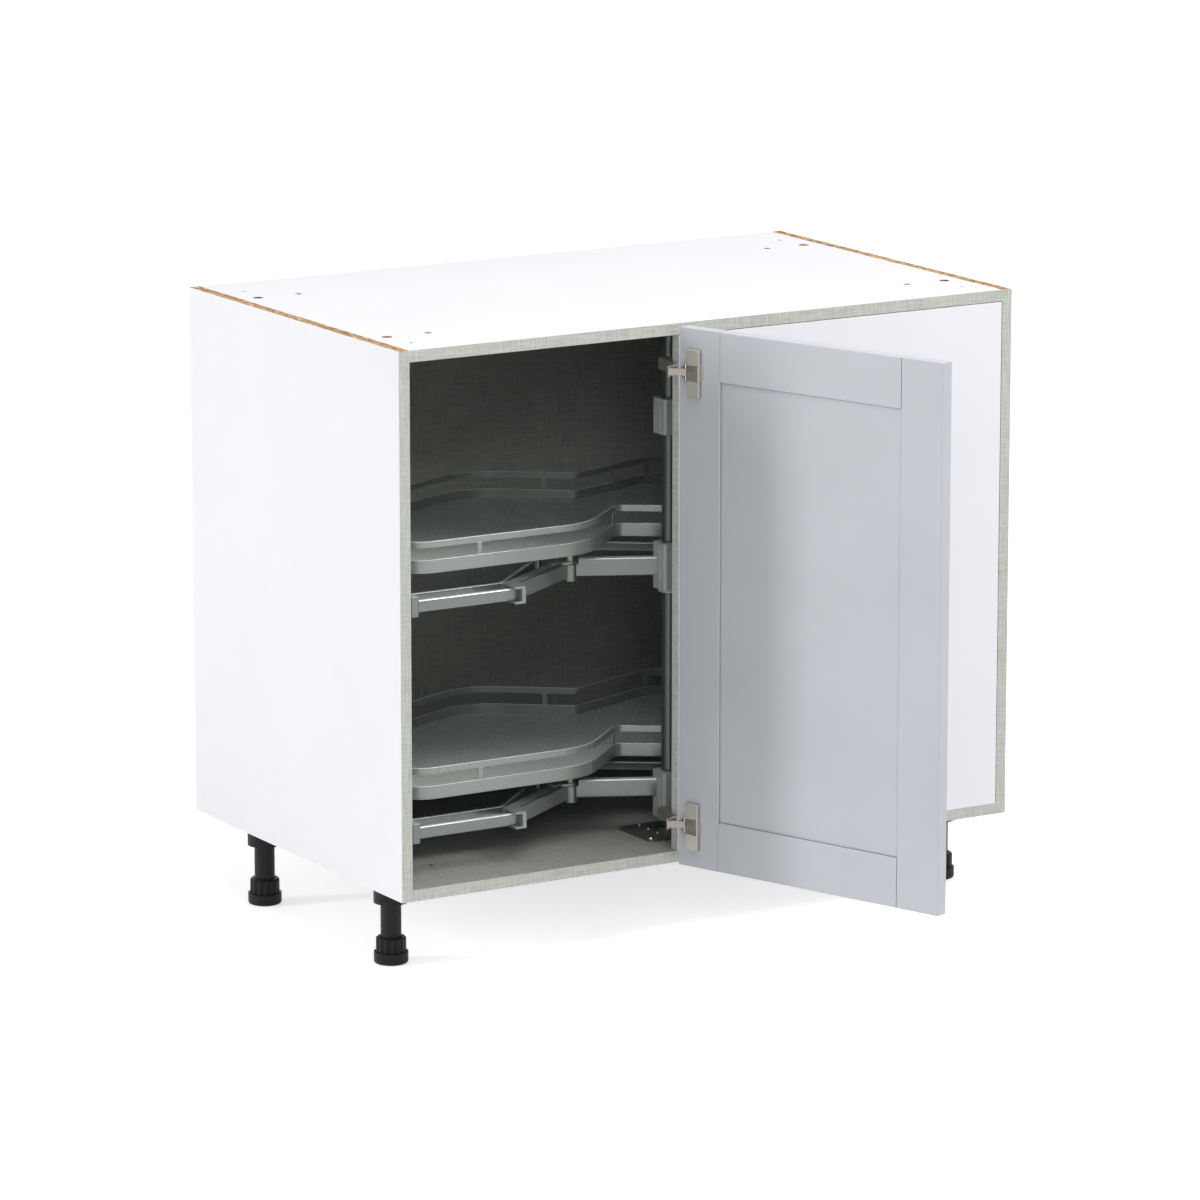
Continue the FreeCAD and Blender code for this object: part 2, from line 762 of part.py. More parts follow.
def tray_outline():
    """The tray's outline as a rounded face at height 0: two lobes about the post and two notches."""
    waist_end = toward(front_notch, waist_angle, waist_run)
    left_x = post.x - math.sqrt(left_lobe_radius ** 2 - (tray_setback - post.y) ** 2)
    right_x = post.x + math.sqrt(right_lobe_radius ** 2 - (waist_end.y - post.y) ** 2)
    left_front = V(left_x, tray_setback, 0)
    right_front = V(right_x, waist_end.y, 0)
    bend_run = (front_notch.y - tray_setback) / math.tan(math.radians(tray_bend_angle))
    bend = V(front_notch.x - bend_run, tray_setback, 0)
    left_top = on_circle(rear_notch, left_shoulder_angle, left_lobe_radius)
    right_top = on_circle(rear_notch, right_shoulder_angle, right_lobe_radius)
    edges = [
        Part.makeLine(left_front, bend),
        Part.makeLine(bend, front_notch),
        Part.makeLine(front_notch, waist_end),
        Part.makeLine(waist_end, right_front),
        rim_arc(right_front, right_top, right_lobe_radius),
        Part.makeLine(right_top, rear_notch),
        Part.makeLine(rear_notch, left_top),
        rim_arc(left_top, left_front, left_lobe_radius),
    ]
    prism = Part.Face(Part.Wire(edges)).extrude(V(0, 0, 1))
    corners = (
        (left_front, tray_corner), (bend, tray_bend_radius), (front_notch, front_notch_radius),
        (waist_end, waist_radius), (right_front, right_corner_radius), (right_top, right_shoulder_radius),
        (rear_notch, rear_notch_radius), (left_top, left_shoulder_radius),
    )
    for place, radius in corners:
        near = [e for e in upright_edges(prism) if e.distToShape(Part.Vertex(place))[0] < 0.01]
        prism = prism.makeFillet(radius, near)
    return [f for f in prism.Faces if abs(f.BoundBox.ZMax) < 1e-6][0]


def on_circle(start, angle, radius):
    """Where a line from a place at an angle meets a circle about the post."""
    d = toward(V(0, 0, 0), angle, 1)
    rel = start - post
    b = rel.x * d.x + rel.y * d.y
    reach = -b + math.sqrt(b * b - (rel.x ** 2 + rel.y ** 2 - radius ** 2))
    return start + d * reach


def rim_arc(start, end, radius):
    """An arc about the post from one place counter-clockwise to another."""
    a = math.atan2(start.y - post.y, start.x - post.x)
    b = math.atan2(end.y - post.y, end.x - post.x)
    middle = toward(post, math.degrees((a + b + (2 * math.pi if b < a else 0)) / 2), radius)
    return Part.Arc(start, middle, end).toShape()


def upright_boxes(z0, z1):
    """Boxes that cut the rim's uprights out of its wall, by the places where the uprights stand."""
    reach = 2 * rear_notch_radius + 2 * rim_thickness
    spots = [
        (V(board + front_upright_from_wall, tray_setback, 0), 0),
        (toward(front_notch, 180 + tray_bend_angle, notch_upright_run), tray_bend_angle),
        (toward(front_notch, waist_angle, waist_upright_run), waist_angle),
        (toward(rear_notch, right_shoulder_angle, right_shoulder_upright_run), right_shoulder_angle),
        (toward(rear_notch, left_shoulder_angle, left_shoulder_upright_run), left_shoulder_angle),
    ]
    spots += [(toward(post, a, right_lobe_radius), a + 90) for a in right_arc_upright_angles]
    spots += [(toward(post, a, left_lobe_radius), a + 90) for a in left_arc_upright_angles]
    boxes = []
    for place, along in spots:
        side = along + 90
        inner = toward(place, side, -reach / 2)
        outer = toward(place, side, reach / 2)
        boxes.append(bar(inner, outer, upright_width, z0, z1))
    return boxes


def raised(face, z, height):
    """A flat face lifted to a height and drawn upward."""
    return face.translated(V(0, 0, z)).extrude(V(0, 0, height))


def waist_bearer(tray_z):
    """The bar under a tray's waist, on two feet that hang it from the tray's floor."""
    line = toward(front_notch, waist_angle + 90, bearer_inset + bearer_width / 2)
    start = toward(line, waist_angle, bearer_start)
    end = toward(start, waist_angle, bearer_length)
    bar_top = tray_z - bearer_drop
    beam = bar(start, end, bearer_width, bar_top - bearer_height, bar_top)
    feet = [bar(start, toward(start, waist_angle, bearer_foot), bearer_width, bar_top, tray_z),
            bar(toward(end, waist_angle, -bearer_foot), end, bearer_width, bar_top, tray_z)]
    return beam.fuse(feet).removeSplitter()


def tray(tray_z, outline):
    """A tray: floor, rim band, top rail and uprights, and the bearer under its waist."""
    inside = outline.makeOffset2D(-rim_thickness)
    rail_inside = outline.makeOffset2D(-rim_rail_thickness)
    gap_z = tray_z + rim_band_height
    rail_z = gap_z + rim_gap
    rim = raised(outline, tray_z, rim_band_height).cut(raised(inside, tray_z, rim_band_height))
    rail = raised(outline, rail_z, rim_rail_height).cut(raised(rail_inside, rail_z, rim_rail_height))
    rail = rail.makeFillet(rim_rail_round, edges_at(rail, rail_z + rim_rail_height))
    wall = raised(outline, gap_z, rim_gap).cut(raised(inside, gap_z, rim_gap))
    return {
        "tray_floor": raised(inside, tray_z, tray_floor_thickness),
        "tray_rim_band": rim,
        "tray_top_rail": rail,
        "tray_uprights": together(wall.common(b) for b in upright_boxes(gap_z, rail_z)),
        "tray_bearer": waist_bearer(tray_z),
    }


def tray_link(boss_low, strap_z, clamp_box):
    """The slotted link arm, beside the elbow's boss and out to the clamp, with the elbow pin's eye strap."""
    root = toward(elbow, link_angle - 90, link_offset)
    tip = toward(clamp, link_angle - 90, link_offset)
    body = bar(root, tip, link_width, strap_z - link_height, strap_z)
    slot_side = toward(V(0, 0, 0), link_angle + 90, link_width / 2 - link_slot_inset - link_slot_width / 2)
    slot = capsule(toward(root, link_angle, link_slot_margin) + slot_side,
                   toward(tip, link_angle, -link_slot_margin) + slot_side,
                   link_slot_width / 2, strap_z - link_slot_depth, strap_z + strap_thickness)
    strap_end = toward(elbow, link_angle - strap_turn, strap_length)
    strap = capsule(elbow, strap_end, strap_width / 2, strap_z, strap_z + strap_thickness)
    body = body.cut(rod(elbow, boss_diameter + 2 * running_gap, boss_low, strap_z))
    eye = rod(elbow, elbow_pin_diameter, strap_z, strap_z + strap_thickness)
    return body.fuse(strap).cut([slot, clamp_box, eye]).removeSplitter()


def carrier(tray_z):
    """What carries a tray from the elbow: pin, link arm, clamp, two rails and the end fitting."""
    arm_top = tray_z - arm_below_tray
    boss_low = arm_top - arm_height - boss_below_arm
    strap_z = arm_top - boss_top_drop + running_gap
    pin = rod(elbow, elbow_pin_diameter, boss_low, tray_z)
    pin = pin.fuse(rod(elbow, elbow_flange_diameter, tray_z - elbow_flange, tray_z)).removeSplitter()
    clamp_top = strap_z + clamp_rise
    clamp_low = clamp_top - clamp_height
    clamp_right = clamp.x + clamp_end_wall / 2
    clamp_left = clamp_right - clamp_length
    clamp_front = clamp.y - clamp_depth / 2
    clamp_back = clamp.y + clamp_depth / 2
    clamp_box = box(clamp_left, clamp_front, clamp_low, clamp_right, clamp_back, clamp_top)
    mouth = box(clamp_left, clamp_front, clamp_low + clamp_wall,
                clamp_right - clamp_end_wall, clamp_back - clamp_wall, clamp_top - clamp_wall)
    rail_z = clamp_low + clamp_wall
    end_x = board + end_fitting_from_wall
    rail_left = end_x + end_fitting_length
    front = box(rail_left, clamp.y - rail_thickness / 2, rail_z,
                clamp_right - clamp_end_wall, clamp.y + rail_thickness / 2, rail_z + rail_height)
    front = front.makeFillet(rail_round, level_edges_along_x(front, rail_z + rail_height))
    rear_y = clamp.y + rail_spacing
    knee = V(rail_left + rear_rail_bend, rear_y, 0)
    far = toward(knee, rear_rail_angle, rear_rail_run)
    rear_top = rail_z + rear_rail_height
    rear = bar(V(rail_left, rear_y, 0), knee, rear_rail_thickness, rail_z, rear_top)
    rear = rear.fuse([rod(knee, rear_rail_thickness, rail_z, rear_top),
                      bar(knee, far, rear_rail_thickness, rail_z, rear_top),
                      bar(toward(far, rear_rail_angle, -riser_size), far, riser_size, rail_z, tray_z)])
    fitting_low = rail_z + rail_height / 2 - end_fitting_height / 2
    fitting_back = rear_y + end_fitting_reach
    fitting = box(end_x, clamp.y - end_fitting_overhang, fitting_low, rail_left, fitting_back,
                  fitting_low + end_fitting_height)
    fitting = fitting.makeFillet(rail_round, upright_edges(fitting))
    shelf = box(end_x + rail_round, fitting_back - rail_round - riser_size, fitting_low,
                end_x + end_riser_run, fitting_back - rail_round, fitting_low + end_fitting_height)
    riser = box(end_x + end_riser_run - riser_size, fitting_back - rail_round - riser_size, fitting_low,
                end_x + end_riser_run, fitting_back - rail_round, tray_z)
    return {
        "elbow_pin": pin,
        "link_arm": tray_link(boss_low, strap_z, clamp_box),
        "rail_clamp": clamp_box.cut(mouth),
        "front_rail": front,
        "rear_rail": rear.removeSplitter(),
        "rail_end_fitting": fitting.fuse([shelf, riser]).removeSplitter(),
    }


def tray_sets():
    """Both tray sets, one above the other."""
    outline = tray_outline()
    nodes = {}
    for level, z in tray_heights.items():
        pieces = {**swing_arm(level), **carrier(z), **tray(z, outline)}
        nodes.update({level + "_" + name: shape for name, shape in pieces.items()})
    return nodes


def open_door_front():
    """How far forward the open door reaches, for the part frame's origin."""
    faces = (-door_gap, -door_gap - door_thickness)
    corners = [V(x, y, 0) for x in (door_left, door_right) for y in faces]
    return min(opened_door(Part.Vertex(c)).Point.y for c in corners)


origin = V(cabinet_width / 2, (open_door_front() + cabinet_depth) / 2, -leg_height)


def build():
    """Every node in the part's frame."""
    nodes = carcass()
    for name, holes in screw_holes_in_boards().items():
        nodes[name] = nodes[name].cut(holes)
    for assembly in (legs, pivot_post, door_and_hinges, tray_sets):
        nodes.update(assembly())
    return {name: shape.translated(-origin) for name, shape in nodes.items()}


def export(nodes):
    """One STEP file for each node."""
    os.makedirs("parts", exist_ok=True)
    for name, shape in nodes.items():
        shape.exportStep("parts/" + name + ".step")


nodes = build()
export(nodes)
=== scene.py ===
"""Looks of a blind corner base cabinet with an open door and two swing-out trays."""

import json
import logging
import math
from abc import ABC, abstractmethod
from dataclasses import dataclass, field
from enum import Enum
from typing import Callable, Sequence

import bpy
from mathutils import Matrix, Vector

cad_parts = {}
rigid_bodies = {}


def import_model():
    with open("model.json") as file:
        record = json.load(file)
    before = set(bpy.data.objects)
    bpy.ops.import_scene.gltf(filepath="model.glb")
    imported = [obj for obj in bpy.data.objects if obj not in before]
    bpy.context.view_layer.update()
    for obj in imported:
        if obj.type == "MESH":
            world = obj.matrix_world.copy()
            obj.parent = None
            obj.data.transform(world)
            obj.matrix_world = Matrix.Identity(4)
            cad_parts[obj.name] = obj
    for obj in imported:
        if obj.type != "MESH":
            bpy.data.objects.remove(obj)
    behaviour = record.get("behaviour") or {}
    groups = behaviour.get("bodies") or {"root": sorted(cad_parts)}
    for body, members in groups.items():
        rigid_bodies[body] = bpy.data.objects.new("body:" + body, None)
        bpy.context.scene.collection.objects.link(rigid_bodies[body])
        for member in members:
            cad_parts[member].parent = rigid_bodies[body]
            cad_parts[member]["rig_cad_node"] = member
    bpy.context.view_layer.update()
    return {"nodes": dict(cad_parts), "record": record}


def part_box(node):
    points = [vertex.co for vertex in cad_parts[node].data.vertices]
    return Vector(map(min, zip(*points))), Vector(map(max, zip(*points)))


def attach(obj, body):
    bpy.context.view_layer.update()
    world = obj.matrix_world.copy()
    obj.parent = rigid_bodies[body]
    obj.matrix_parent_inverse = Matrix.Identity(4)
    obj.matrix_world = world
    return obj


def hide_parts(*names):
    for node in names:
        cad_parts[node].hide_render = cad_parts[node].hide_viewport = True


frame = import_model()

LOG = logging.getLogger("cabinet")
Pair = tuple[float, float]
Triple = tuple[float, float, float]
Colour = tuple[float, float, float, float]
Socket = bpy.types.NodeSocket
Piece = bpy.types.Object
PlainScrew = tuple[Sequence[Vector], Triple]
RECORD = frame["record"]
BODIES: dict[str, str] = {
    node: body for body, nodes in RECORD["behaviour"]["bodies"].items() for node in nodes
}
UP: Triple = (0.0, 0.0, 1.0)
BACK: Triple = (0.0, 1.0, 0.0)
WHITE: Colour = (1.0, 1.0, 1.0, 1.0)
# Spans of noise that two tones or two numbers lie across.
WIDE: Pair = (0.3, 0.7)
SOFT: Pair = (0.35, 0.65)


def srgb(red: int, green: int, blue: int) -> Colour:
    """Turns a colour as a display shows it into the linear values that shaders take.

    Args:
        red: Red, from 0 to 255.
        green: Green, from 0 to 255.
        blue: Blue, from 0 to 255.

    Returns:
        The linear colour with full alpha.
    """
    def linear(value: int) -> float:
        """One channel's linear value, by the standard curve."""
        share = value / 255
        return share / 12.92 if share <= 0.04045 else ((share + 0.055) / 1.055) ** 2.4

    return linear(red), linear(green), linear(blue), 1.0


# A pale tone painted on the upward faces of the tray bars: a painted highlight.
PAINTED_HIGHLIGHT = srgb(232, 238, 234)


class Step(Enum):
    """The sums that a finish makes with two values."""

    ADD = "ADD"
    MULTIPLY = "MULTIPLY"
    ABOVE = "GREATER_THAN"
    SINE = "SINE"


class Fit(Enum):
    """What becomes of a tool on a piece."""

    JOIN = "UNION"
    CUT = "DIFFERENCE"


class Level(Enum):
    """The two tray sets."""

    LOWER = "lower"
    UPPER = "upper"


class Bench:
    """The node tree of one material, with the steps that the finishes share."""

    # A mix node's two inputs and its output, for colours and for numbers.
    COLOUR_SOCKETS = (6, 7, 2)
    NUMBER_SOCKETS = (2, 3, 0)
    THREAD_DETAIL = 3.0
    THREAD_ROUGH = 0.6

    def __init__(self, name: str) -> None:
        """Opens a new material with its shader.

        Args:
            name: The material's name.
        """
        self.material = bpy.data.materials.new(name)
        self.material.use_nodes = True
        self.nodes = self.material.node_tree.nodes
        self.links = self.material.node_tree.links
        self.shader = self.nodes["Principled BSDF"]
        self.place = self.nodes.new("ShaderNodeTexCoord")

    def fix(self, socket: str, value: float | Colour) -> None:
        """Sets a value that is the same all over the surface."""
        self.shader.inputs[socket].default_value = value

    def feed(self, socket: str, source: Socket) -> None:
        """Links a value that varies over the surface."""
        self.links.new(source, self.shader.inputs[socket])

    def spread(self, waves: Triple | float, turn: Triple = (0.0, 0.0, 0.0)) -> Socket:
        """Object coordinates counted in waves.

        Args:
            waves: Waves per metre along each axis, or one number for all three.
            turn: Turn of the pattern about each axis, in radians.

        Returns:
            The coordinates as a vector.
        """
        mapping = self.nodes.new("ShaderNodeMapping")
        mapping.inputs["Scale"].default_value = (waves,) * 3 if isinstance(waves, float) else waves
        mapping.inputs["Rotation"].default_value = turn
        self.links.new(self.place.outputs["Object"], mapping.inputs["Vector"])
        return mapping.outputs["Vector"]

    def noise(self, waves: Triple | float, detail: float = 2.0, rough: float = 0.5) -> Socket:
        """Cloudy noise, finer along an axis with more waves.

        Args:
            waves: Waves per metre along each axis, or one number for all three.
            detail: Octaves of finer noise.
            rough: How strong the finer octaves are.

        Returns:
            A value around 0.5.
        """
        texture = self.nodes.new("ShaderNodeTexNoise")
        texture.inputs["Scale"].default_value = 1.0
        texture.inputs["Detail"].default_value = detail
        texture.inputs["Roughness"].default_value = rough
        self.links.new(self.spread(waves), texture.inputs["Vector"])
        return texture.outputs["Fac"]

    def chips(self, waves: Triple) -> Socket:
        """A random value for each pressed chip of a board.

        Args:
            waves: Chips per metre along each axis.

        Returns:
            A value from 0 to 1, the same all over a chip.
        """
        cells = self.nodes.new("ShaderNodeTexVoronoi")
        cells.inputs["Scale"].default_value = 1.0
        self.links.new(self.spread(waves), cells.inputs["Vector"])
        split = self.nodes.new("ShaderNodeSeparateColor")
        self.links.new(cells.outputs["Color"], split.inputs["Color"])
        return split.outputs["Red"]

    def sum(self, step: Step, first: Socket, second: Socket | float = 0.0) -> Socket:
        """Works out one sum.

        Args:
            step: Which sum.
            first: The first value.
            second: The second value, a socket or a number.

        Returns:
            The result.
        """
        node = self.nodes.new("ShaderNodeMath")
        node.operation = step.value
        self.links.new(first, node.inputs[0])
        if isinstance(second, float):
            node.inputs[1].default_value = second
        else:
            self.links.new(second, node.inputs[1])
        return node.outputs[0]

    def ramp(self, value: Socket, stops: Sequence[tuple[float, Colour]]) -> Socket:
        """Colours along a value.

        Args:
            value: The value.
            stops: Places along it, with the colour at each.

        Returns:
            The colour.
        """
        node = self.nodes.new("ShaderNodeValToRGB")
        elements = node.color_ramp.elements
        for spot, (place, colour) in enumerate(stops):
            element = elements[spot] if spot < 2 else elements.new(place)
            element.position = place
            element.color = colour
        self.links.new(value, node.inputs["Fac"])
        return node.outputs["Color"]

    def blend(self, noise: Socket, low: Colour, high: Colour, span: Pair = SOFT) -> Socket:
        """Blends two colours over a span of noise."""
        return self.ramp(noise, tuple(zip(span, (low, high))))

    def between(self, noise: Socket, low: float, high: float) -> Socket:
        """Stretches the wide span of noise over a range of plain numbers.

        Args:
            noise: Noise around 0.5.
            low: The number at the span's low end.
            high: The number at its high end.

        Returns:
            The number.
        """
        node = self.nodes.new("ShaderNodeMapRange")
        ends = ("From Min", "From Max", "To Min", "To Max")
        for name, number in zip(ends, (*WIDE, low, high)):
            node.inputs[name].default_value = number
        self.links.new(noise, node.inputs["Value"])
        return node.outputs["Result"]

    def choose(self, mask: Socket, off: Socket, on: Socket) -> Socket:
        """Picks a colour or a number by a mask.

        Args:
            mask: 1 where the second one shows.
            off: What shows where the mask is 0.
            on: What shows where the mask is 1.

        Returns:
            The mixed colour or number.
        """
        node = self.nodes.new("ShaderNodeMix")
        colours = off.type == "RGBA"
        node.data_type = "RGBA" if colours else "FLOAT"
        first, second, out = self.COLOUR_SOCKETS if colours else self.NUMBER_SOCKETS
        self.links.new(mask, node.inputs[0])
        self.links.new(off, node.inputs[first])
        self.links.new(on, node.inputs[second])
        return node.outputs[out]

    def facing(self, way: Triple, limit: float = 0.6) -> Socket:
        """Marks the faces that look one way.

        Args:
            way: The direction, one unit long.
            limit: How closely a face must look that way, from 0 to 1.

        Returns:
            1 on those faces and 0 elsewhere.
        """
        node = self.nodes.new("ShaderNodeVectorMath")
        node.operation = "DOT_PRODUCT"
        node.inputs[1].default_value = way
        self.links.new(self.place.outputs["Normal"], node.inputs[0])
        return self.sum(Step.ABOVE, node.outputs["Value"], limit)

    def openness(self, reach: float) -> Socket:
        """How open the surface is to its surroundings.

        Args:
            reach: How far off a neighbouring surface counts, in metres.

        Returns:
            1 on open faces, less in creases.
        """
        node = self.nodes.new("ShaderNodeAmbientOcclusion")
        node.inputs["Distance"].default_value = reach
        return node.outputs["AO"]

    def bump(self, height: Socket, depth: float, strength: float = 1.0) -> None:
        """Raises the surface by a height.

        Args:
            height: The height, from 0 to 1.
            depth: How deep that is, in metres.
            strength: How strongly it shows.
        """
        node = self.nodes.new("ShaderNodeBump")
        node.inputs["Distance"].default_value = depth
        node.inputs["Strength"].default_value = strength
        self.links.new(height, node.inputs["Height"])
        self.feed("Normal", node.outputs["Normal"])

    def weave(self, run: float, thread: float) -> Socket:
        """The slubbed threads of a printed linen, along all three axes.

        Args:
            run: Length of a thread's streak, in metres.
            thread: Width of a thread, in metres.

        Returns:
            A value around 0.5, lower on the darker threads.
        """
        far, near = 1 / run, 1 / thread
        ways = ((far, near, near), (near, far, near), (near, near, far))
        across, deep, up = (self.noise(way, self.THREAD_DETAIL, self.THREAD_ROUGH) for way in ways)
        total = self.sum(Step.ADD, self.sum(Step.ADD, across, deep), up)
        return self.sum(Step.MULTIPLY, total, 1 / len(ways))


class Finish(ABC):
    """A finish that lays its own material."""

    name: str

    @abstractmethod
    def lay(self, bench: Bench) -> None:
        """Lays the finish's nodes on a bench."""

    def material(self) -> bpy.types.Material:
        """Gives the finish's material, made when it is first asked for.

        Returns:
            The material.
        """
        made = bpy.data.materials.get(self.name)
        if made is None:
            bench = Bench(self.name)
            self.lay(bench)
            made = bench.material
        return made


@dataclass(frozen=True)
class LinenPrint(Finish):
    """Grey linen print, as on the edge bands and inside the box."""

    name: str = "linen print"
    dark: Colour = srgb(160, 163, 156)
    light: Colour = srgb(216, 219, 211)
    run: float = 0.045
    thread: float = 0.0016
    emboss: float = 0.00008
    span: Pair = (0.36, 0.62)
    rough: Pair = (0.62, 0.5)

    def colour(self, bench: Bench, threads: Socket) -> Socket:
        """The print's colour on its threads."""
        return bench.blend(threads, self.dark, self.light, self.span)

    def lay(self, bench: Bench) -> None:
        """Lays the print with a slight emboss along its threads.

        Args:
            bench: The bench.
        """
        threads = bench.weave(self.run, self.thread)
        bench.feed("Base Color", self.colour(bench, threads))
        bench.feed("Roughness", bench.between(threads, *self.rough))
        bench.bump(threads, self.emboss)


@dataclass(frozen=True)
class FacedBoard(Finish):
    """Chipboard with white melamine on its outer face and linen print on its inner one."""

    name: str
    outward: Triple
    white: Colour = srgb(242, 241, 246)
    shade: Colour = srgb(240, 239, 244)
    white_rough: Pair = (0.36, 0.3)
    cloud_waves: float = 5.0
    peel_waves: float = 420.0
    peel_share: float = 0.04
    # The inside takes the edge bands' linen print made darker, as painted shade inside the box.
    linen: LinenPrint = LinenPrint("linen print painted darker", srgb(130, 132, 127), srgb(180, 182, 176))
    chip_dark: Colour = srgb(96, 66, 40)
    chip_mid: Colour = srgb(172, 132, 92)
    chip_light: Colour = srgb(222, 190, 150)
    chip_stops: Triple = (0.1, 0.42, 0.85)
    chip: float = 0.0045
    chip_flat: float = 1.6
    chip_long: float = 0.45
    chip_share: float = 0.65
    dust_waves: float = 900.0
    dust_detail: float = 3.0
    sawn_waves: float = 700.0
    sawn_detail: float = 4.0
    sawn_rough: Pair = (0.95, 0.8)
    coarse: float = 0.7
    relief: float = 0.0001

    def chipboard(self, bench: Bench) -> Socket:
        """Colours the sawn edges chip by chip.

        Args:
            bench: The bench.

        Returns:
            The colour.
        """
        grain = 1 / self.chip
        flat = tuple(grain * (self.chip_flat if way else self.chip_long) for way in self.outward)
        chips = bench.sum(Step.MULTIPLY, bench.chips(flat), self.chip_share)
        dust = bench.noise(self.dust_waves, self.dust_detail, self.coarse)
        mixed = bench.sum(Step.ADD, chips, bench.sum(Step.MULTIPLY, dust, 1 - self.chip_share))
        tones = (self.chip_dark, self.chip_mid, self.chip_light)
        return bench.ramp(mixed, tuple(zip(self.chip_stops, tones)))

    def lay(self, bench: Bench) -> None:
        """Lays the three surfaces, each on the faces that look its way.

        Args:
            bench: The bench.
        """
        outer = bench.facing(self.outward)
        inner = bench.facing(tuple(-way for way in self.outward))
        threads = bench.weave(self.linen.run, self.linen.thread)
        peel = bench.noise(self.peel_waves)
        cloud = bench.noise(self.cloud_waves)
        sawn = bench.noise(self.sawn_waves, self.sawn_detail, self.coarse)
        colour = bench.choose(inner, self.chipboard(bench), self.linen.colour(bench, threads))
        white = bench.blend(cloud, self.shade, self.white)
        bench.feed("Base Color", bench.choose(outer, colour, white))
        dull = bench.choose(inner, bench.between(peel, *self.sawn_rough),
                            bench.between(threads, *self.linen.rough))
        smooth = bench.between(cloud, *self.white_rough)
        bench.feed("Roughness", bench.choose(outer, dull, smooth))
        height = bench.choose(inner, sawn, threads)
        slight = bench.sum(Step.MULTIPLY, peel, self.peel_share)
        bench.bump(bench.choose(outer, height, slight), self.relief)


@dataclass(frozen=True)
class SatinPaint(Finish):
    """Sprayed satin paint with a little orange peel, with painted shade darkening it in the
    creases.
    """

    name: str = "door satin paint"
    low: Colour = srgb(194, 197, 203)
    high: Colour = srgb(198, 201, 207)
    # The dark tone that closed-in creases take, as painted shade.
    painted_shade_low: Colour = srgb(62, 64, 68)
    painted_shade_high: Colour = srgb(78, 80, 84)
    painted_shade_reach: float = 0.003
    rough: Pair = (0.34, 0.42)
    cloud_waves: float = 7.0
    peel_waves: float = 650.0
    peel: float = 0.00003
    peel_strength: float = 0.6

    def lay(self, bench: Bench) -> None:
        """Lays the paint's colour, sheen and peel.

        Args:
            bench: The bench.
        """
        cloud = bench.noise(self.cloud_waves)
        coat = bench.blend(cloud, self.low, self.high)
        painted_crease_shade = bench.blend(cloud, self.painted_shade_low, self.painted_shade_high)
        # Where the surface is closed in, its colour goes to the dark tone: painted shade in the
        # creases.
        bench.feed("Base Color", bench.choose(bench.openness(self.painted_shade_reach), painted_crease_shade, coat))
        bench.feed("Roughness", bench.between(cloud, *self.rough))
        bench.bump(bench.noise(self.peel_waves), self.peel, self.peel_strength)


@dataclass(frozen=True)
class Moulding(Finish):
    """Moulded plastic with a fine grain."""

    name: str
    low: Colour
    high: Colour
    rough: Pair
    gloss: float = 0.5
    grain: float = 0.00004
    grain_waves: float = 1500.0
    cloud_waves: float = 40.0
    cloud_detail: float = 3.0

    def lay(self, bench: Bench) -> None:
        """Lays the plastic's colour, gloss and moulded grain.

        Args:
            bench: The bench.
        """
        cloud = bench.noise(self.cloud_waves, self.cloud_detail)
        bench.fix("Specular IOR Level", self.gloss)
        bench.feed("Base Color", bench.blend(cloud, self.low, self.high, WIDE))
        bench.feed("Roughness", bench.between(cloud, *self.rough))
        bench.bump(bench.noise(self.grain_waves), self.grain)


@dataclass(frozen=True)
class Metal(Finish):
    """Bright or coated metal, with a painted highlight on its upper faces where it is given one."""

    name: str
    low: Colour
    high: Colour
    rough: Pair
    metallic: float = 1.0
    lacquer: float = 0.0
    lacquer_rough: float = 0.1
    # The pale tone of the painted highlight on upward faces, if any.
    top_highlight: Colour | None = None
    top_highlight_span: Pair = (0.3, 0.4)
    top_highlight_limit: float = 0.35
    grain: float = 0.000002
    grain_waves: float = 1100.0
    cloud_waves: float = 5.0
    cloud_detail: float = 1.0

    def lay(self, bench: Bench) -> None:
        """Lays the metal's tone, its gloss and its grain.

        Args:
            bench: The bench.
        """
        cloud = bench.noise(self.cloud_waves, self.cloud_detail)
        bench.fix("Metallic", self.metallic)
        bench.fix("Coat Weight", self.lacquer)
        bench.fix("Coat Roughness", self.lacquer_rough)
        tone = bench.blend(cloud, self.low, self.high, WIDE)
        # Upward faces take a paler tone: a painted highlight.
        if self.top_highlight:
            painted_highlight_tone = bench.blend(cloud, self.high, self.top_highlight, self.top_highlight_span)
            tone = bench.choose(bench.facing(UP, self.top_highlight_limit), tone, painted_highlight_tone)
        bench.feed("Base Color", tone)
        bench.feed("Roughness", bench.between(cloud, *self.rough))
        bench.bump(bench.noise(self.grain_waves), self.grain)


